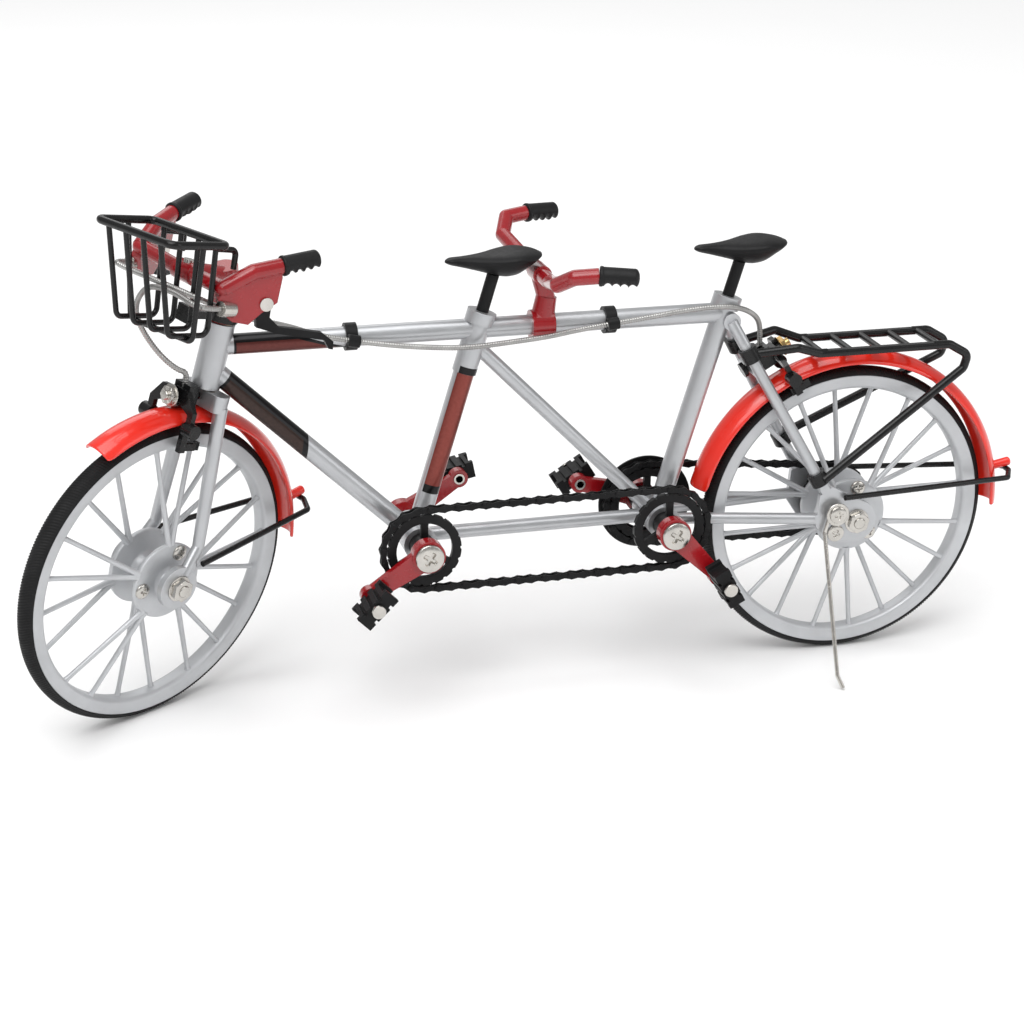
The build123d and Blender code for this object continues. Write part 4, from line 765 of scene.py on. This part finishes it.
class TANDEM_OT_chains(bpy.types.Operator):
    """Both chains, link by link"""

    bl_idname = "tandem.chains"
    bl_label = "Chains"

    def execute(self, context):
        pitch = context.scene.tandem_sizes.chain_pitch / MM
        make_piece("timing_chain_links", self.chain((97.3, 35.45, 8.81), (43.65, 35.45, 8.81), 8.5, pitch),
                FINISH["black"], "frame", ("timing_chain",), sharp=35)
        make_piece("drive_chain_links", self.chain((43.65, 35.45, 9.27), (0.0, 33.0, 7.89), -6.7, pitch),
                FINISH["black"], "frame", ("drive_chain",), sharp=35)
        return {"FINISHED"}

    @staticmethod
    def loop(a, b, step):
        """Pins at an even step round two pitch circles and the two straight runs that touch them both: the runs leave
        each circle at the angle whose cosine is (r1 - r2) / distance, measured from the line of centres."""
        c0, c1 = np.array(a[:2]), np.array(b[:2])
        d = c1 - c0
        base = math.atan2(d[1], d[0])
        off = math.acos((a[2] - b[2]) / np.linalg.norm(d))
        first = np.linspace(base + off, base - off + 2 * np.pi, 200)
        second = np.linspace(base - off, base + off, 200)
        path = np.concatenate([c0 + a[2] * np.stack([np.cos(first), np.sin(first)], -1),
                               c1 + b[2] * np.stack([np.cos(second), np.sin(second)], -1)])
        path = np.concatenate([path, path[:1]])
        run = np.concatenate([[0], np.cumsum(np.linalg.norm(np.diff(path, axis=0), axis=1))])
        count = 2 * int(round(run[-1] / step / 2))
        s = np.linspace(0, run[-1], count + 1)[:-1]
        return np.stack([np.interp(s, run, path[:, k]) for k in range(2)], -1)

    def chain(self, a, b, y, step):
        """Waisted side plates and round pins, each the same small mesh set on every link: pin + t along + n across."""
        pins = self.loop(a, b, step)
        nxt = np.roll(pins, -1, 0)
        along = nxt - pins
        length = np.linalg.norm(along, axis=1)
        along /= length[:, None]
        across = np.stack([-along[:, 1], along[:, 0]], -1)
        ang = np.radians([90, 135, 180, 225, 270])
        end = np.stack([np.cos(ang), np.sin(ang)], -1) * 0.78
        mid = length.mean()
        outline = np.concatenate([end, [[mid / 2, -0.5]], [mid, 0] + end * [-1, -1], [[mid / 2, 0.5]]])
        parts = []
        layers = ((0.52, 0.8, 0), (-0.8, -0.52, 0), (0.22, 0.5, 1), (-0.5, -0.22, 1))
        sets = [(pins, along, across, outline, low, high, which) for low, high, which in layers]
        disc = np.stack([np.cos(np.arange(8) * np.pi / 4), np.sin(np.arange(8) * np.pi / 4)], -1)
        sets += [(pins, along, across, disc * 0.42, -0.86, 0.86, None)]
        for p, t, n, shape, lo, hi, which in sets:
            pick = slice(which, None, 2) if which is not None else slice(None)
            flat = p[pick, None] + shape[None, :, :1] * t[pick, None] + shape[None, :, 1:] * n[pick, None]
            parts += self.solids(flat, y + lo, y + hi)
        return parts

    @staticmethod
    def solids(flat, y0, y1):
        """Every flat outline given depth: two copies of its points at y0 and y1, side quads and a fan on each face."""
        k, n = flat.shape[:2]
        ring = np.stack([flat[..., 0], np.full((k, n), y0), flat[..., 1]], -1)
        other = ring.copy()
        other[..., 1] = y1
        hubs = np.stack([ring.mean(1), other.mean(1)], 1)
        verts = np.concatenate([ring, other, hubs], 1)
        j = np.arange(n)
        nj = (j + 1) % n
        quads = np.stack([j, nj, nj + n, j + n], -1)
        tris = np.concatenate([np.stack([np.full(n, 2 * n), nj, j], -1),
                np.stack([np.full(n, 2 * n + 1), j + n, nj + n], -1)])
        base = (np.arange(k) * (2 * n + 2))[:, None, None]
        part = {"v": verts.reshape(-1, 3), "q": (quads[None] + base).reshape(-1, 4),
                "t": (tris[None] + base).reshape(-1, 3),
                "uv": np.zeros((k * n, 4, 2))}
        return [outward(part)]


class TANDEM_OT_fasteners(bpy.types.Operator):
    """Cross-head screws, hexagon nuts and pins"""

    bl_idname = "tandem.fasteners"
    bl_label = "Fasteners"

    def execute(self, context):
        out = np.array([0, 1.0, 0])
        for name, place, body, angles in (("front", FRONT_CRANK, "front_crank", FRONT_CRANK_ANGLES),
                ("rear", REAR_CRANK, "rear_crank", REAR_CRANK_ANGLES)):
            parts = []
            for side, angle in zip((1, -1), angles):
                a = math.radians(angle)
                tip = CRANK_LENGTH * np.array([math.cos(a), 0, math.sin(a)])
                parts.append(crossed_head(axis_place((0, 13.15 * side, 0), out * side, place), 3.0, 1.25, dome=0.3,
                        spin=0.9))
                parts.append(turned(axis_place(tip, out * side, place), [(0.8, 10.8, 0), (0.8, 20.7, 0)], 24))
                parts.append(turned(axis_place(tip, out * side, place), [(1.2, 10.8, 0), (1.2, 11.1, 0)], 24))
                parts.append(turned(axis_place(tip, out * side, place),
                        [(1.42, 20.7, 0), (1.5, 20.8, 0), (1.5, 21.2, 0), (1.36, 21.42, 0), (0.9, 21.5, 0),
                        (0.3, 21.5, 0)], 40))
            make_piece(name + "_crank_screws_plated", parts, FINISH["nickel"], body, (name + "_crank_screws",))
        for name, place, body, left, right in (("front", FRONT_WHEEL, "steering", 8.3, 8.3),
                ("rear", REAR_WHEEL, "frame", 8.3, 9.7)):
            parts = [turned(axis_place((0, 0, 0), out, place), [(1.2, -right, 0), (1.2, left, 0)], 32)]
            for side, face in ((1, left), (-1, right)):
                at = axis_place((0, 0, 0), out * side, place)
                washer = [(2.65, face, 0), (2.75, face + 0.05, 0), (2.75, face + 0.2, 0), (2.65, face + 0.25, 0)]
                f = face + 0.25
                nut = [(2.15, f, 1), (2.36, f + 0.12, 1), (2.9, f + 0.3, 1), (2.9, f + 1.05, 1), (2.4, f + 1.28, 1),
                        (2.08, f + 1.4, 1), (1.32, f + 1.4, 0),
                       (1.2, f + 1.3, 0), (1.2, f + 1.55, 0), (1.05, f + 1.66, 0), (0.5, f + 1.72, 0)]
                parts += [turned(at, washer, 48), turned(at, nut, 96, flats=4.3)]
            make_piece(name + "_axle_plated", parts, FINISH["nickel"], body, (name + "_axle",),
                    sharp=30)
            screws = []
            for k in range(3):
                a = math.radians(103 + 120 * k)
                spot = (6.35 * math.cos(a), 4.38, 6.35 * math.sin(a))
                screws.append(crossed_head(axis_place(spot, out, place), 1.65, 0.78, dome=0.5, spin=0.3 + k))
            make_piece(name + "_hub_screws_plated", screws, FINISH["nickel"], name + "_wheel",
                    (name + "_hub_screws",))
        pivot = (5.4, 0, 35.6)
        stand = [
            turned(axis_place(pivot, out), [(0.8, 6.9, 0), (0.8, 9.95, 0)], 24),
            turned(axis_place(pivot, out), [(1.6, 8.3, 0), (1.6, 8.8, 0)], 32),
            turned(axis_place(pivot, out), [(2.5, 9.95, 0), (2.6, 10.05, 0), (2.6, 10.25, 0), (2.5, 10.35, 0)], 48),
            crossed_head(axis_place((5.4, 10.33, 35.6), out), 1.9, 0.66, dome=0.45, spin=0.2),
            crossed_head(axis_place((4.9, 8.3, 30.6), out), 1.9, 0.6, dome=0.35, spin=0.75, recess=0.5),
        ]
        make_piece("kickstand_screws_plated", stand, FINISH["nickel"], "frame", ("kickstand_screws",))
        tilt = math.radians(REAR_BRAKE_TILT)
        for name, at, body, face, end, finish in (
                ("front_brake_nut", axis_place((0, 0, FRONT_BRAKE_DROP), (1.0, 0, 0), STEER), "steering", 8.55, 10.3,
                        "nickel"),
                ("rear_brake_nut", axis_place(REAR_BRAKE, (-math.cos(tilt), 0, math.sin(tilt))), "frame", 4.3, 6.45,
                        "brass")):
            washer = [(2.2, face - 0.08, 0), (2.3, face - 0.04, 0), (2.3, face + 0.06, 0), (2.2, face + 0.1, 0)]
            f = face + 0.1
            nut = [(1.75, f, 1), (1.95, f + 0.1, 1), (2.4, f + 0.25, 1), (2.4, f + 0.75, 1), (1.95, f + 0.9, 1),
                    (1.72, f + 1.0, 1)]
            end_of_bolt = [(0.93, f + 0.5, 0), (0.93, end - 0.12, 0), (0.8, end, 0), (0.3, end + 0.02, 0)]
            make_piece(name, [turned(at, washer, 48), turned(at, nut, 96, flats=3.5), turned(at, end_of_bolt, 32)],
                       FINISH[finish], body, (), sharp=30)
        return {"FINISHED"}


class TANDEM_OT_cad_finishes(bpy.types.Operator):
    """Finishes on the pieces whose frame shapes stay"""

    bl_idname = "tandem.cad_finishes"
    bl_label = "Painted and plated pieces"

    def execute(self, context):
        finish_nodes(FINISH["frame"], "main_frame")
        finish_nodes(FINISH["silver"], "fork", "seat_collars")
        finish_nodes(FINISH["red"], "handlebar", "stoker_handlebar", "front_crank_arms", "rear_crank_arms")
        finish_nodes(FINISH["black"], "front_timing_ring", "rear_timing_ring", "drive_ring", "rear_sprocket",
                "front_left_pedal",
                     "front_right_pedal", "rear_left_pedal", "rear_right_pedal", "cable_clips", "left_brake_lever",
                     "right_brake_lever", "front_seatpost", "rear_seatpost")
        finish_nodes(FINISH["enamel"], "basket", "rear_rack", "front_fender_stays", "rear_fender_stays",
                "front_brake_arm_left",
                     "front_brake_arm_right", "rear_brake_arm_left", "rear_brake_arm_right", "front_brake_bracket", "rear_brake_bracket")
        finish_nodes(FINISH["nickel"], "handlebar_fasteners", "kickstand", "front_crank_axle", "rear_crank_axle")
        finish_nodes(FINISH["brass"], "bearing_bushes")
        return {"FINISHED"}


CAMERA_TARGET = (0.07609, 0.0, 0.03874)
CAMERA_DISTANCE = 0.48217
CAMERA_TURN, CAMERA_RISE, CAMERA_ROLL = 164.35, 21.11, 0.81     # degrees
CAMERA_LENS = 79.59
FLOOR_REACH = 6                 # metres each way
WORLD_STRENGTH = 0.42
SUN_STRENGTH = 1.75
SUN_SPREAD = 55                 # degrees across, so that shadows stay soft
AREA_LIGHTS = (                 # name, place, side in metres, watts
    ("key", (0.45, 0.55, 0.75), 0.55, 2.6),
    ("left", (-0.55, 0.45, 0.40), 0.45, 0.9),
    ("back", (0.1, -0.7, 0.6), 0.5, 1.0),
)


class TANDEM_OT_stage(bpy.types.Operator):
    """Pale floor, soft lights and the camera"""

    bl_idname = "tandem.stage"
    bl_label = "Stage"

    def execute(self, context):
        scene = context.scene
        side = np.linspace(-FLOOR_REACH, FLOOR_REACH, 5)
        grid = np.stack(np.meshgrid(side, side, indexing="ij") + [np.zeros((5, 5))], -1)
        index = np.arange(25).reshape(5, 5)
        quads = np.stack([index[:-1, :-1], index[1:, :-1], index[1:, 1:], index[:-1, 1:]], -1).reshape(-1, 4)
        mesh = bpy.data.meshes.new("floor")
        mesh.from_pydata(grid.reshape(-1, 3).tolist(), [], quads.tolist())
        floor = bpy.data.objects.new("floor", mesh)
        scene.collection.objects.link(floor)
        paper = make_finish("floor_paper", (0.93, 0.93, 0.93), rough=(0.8, 0.9), vary=0.004, patch=3.0, grain=400.0,
                bump=0.01, specular=0.1)
        mesh.materials.append(paper)
        world = bpy.data.worlds.new("studio")
        world.use_nodes = True
        world.node_tree.nodes["Background"].inputs[0].default_value = (1.0, 1.0, 1.0, 1.0)
        world.node_tree.nodes["Background"].inputs[1].default_value = WORLD_STRENGTH
        scene.world = world
        scene.view_settings.view_transform = "Standard"
        scene.view_settings.look = "None"
        for name, spot, size, power in AREA_LIGHTS:
            light = bpy.data.lights.new(name, "AREA")
            light.size = size
            light.energy = power
            lamp = bpy.data.objects.new(name, light)
            scene.collection.objects.link(lamp)
            lamp.location = spot
            lamp.rotation_mode = "QUATERNION"
            lamp.rotation_quaternion = (Vector((0.07, 0, 0.05)) - Vector(spot)).to_track_quat("-Z", "Y")
        sky = bpy.data.lights.new("overhead", "SUN")
        sky.energy = SUN_STRENGTH
        sky.angle = math.radians(SUN_SPREAD)
        lamp = bpy.data.objects.new("overhead", sky)
        scene.collection.objects.link(lamp)
        lamp.rotation_euler = (math.radians(-14), math.radians(10), 0)
        camera = bpy.data.objects.new("camera", bpy.data.cameras.new("camera"))
        scene.collection.objects.link(camera)
        scene.camera = camera
        camera.data.lens = CAMERA_LENS
        camera.data.sensor_width = 36.0
        camera.data.clip_start = 0.01
        camera.data.clip_end = 50.0
        a, e, roll = (math.radians(v) for v in (CAMERA_TURN, CAMERA_RISE, CAMERA_ROLL))
        back = Vector((math.sin(a) * math.cos(e), -math.cos(a) * math.cos(e), math.sin(e)))
        right = (-back).cross(Vector((0, 0, 1))).normalized()
        up = right.cross(-back)
        x = right * math.cos(roll) + up * math.sin(roll)
        y = up * math.cos(roll) - right * math.sin(roll)
        place = Matrix((x, y, back)).transposed().to_4x4()
        place.translation = Vector(CAMERA_TARGET) + back * CAMERA_DISTANCE
        camera.matrix_world = place
        return {"FINISHED"}


OPERATORS = (
    TANDEM_OT_finishes, TANDEM_OT_stage, TANDEM_OT_tyres, TANDEM_OT_wheels, TANDEM_OT_fenders, TANDEM_OT_saddles,
    TANDEM_OT_grips, TANDEM_OT_cables, TANDEM_OT_chains, TANDEM_OT_fasteners, TANDEM_OT_cad_finishes,
)


class TANDEM_PT_panel(bpy.types.Panel):
    bl_label = "Tandem bicycle"
    bl_idname = "TANDEM_PT_panel"
    bl_space_type = "VIEW_3D"
    bl_region_type = "UI"
    bl_category = "Tandem"

    def draw(self, context):
        for group in (context.scene.tandem_sizes, context.scene.tandem_colours):
            for key in group.__annotations__:
                self.layout.prop(group, key)
        for operator in OPERATORS:
            self.layout.operator(operator.bl_idname)


CLASSES = (TandemSizes, TandemColours, *OPERATORS, TANDEM_PT_panel)


def register():
    for cls in CLASSES:
        bpy.utils.register_class(cls)
    bpy.types.Scene.tandem_sizes = PointerProperty(type=TandemSizes)
    bpy.types.Scene.tandem_colours = PointerProperty(type=TandemColours)


def unregister():
    del bpy.types.Scene.tandem_colours
    del bpy.types.Scene.tandem_sizes
    for cls in reversed(CLASSES):
        bpy.utils.unregister_class(cls)


def main():
    """Builds every piece in order."""
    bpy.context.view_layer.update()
    register()
    for operator in OPERATORS:
        group, name = operator.bl_idname.split(".")
        getattr(getattr(bpy.ops, group), name)()


if __name__ == "__main__":
    main()
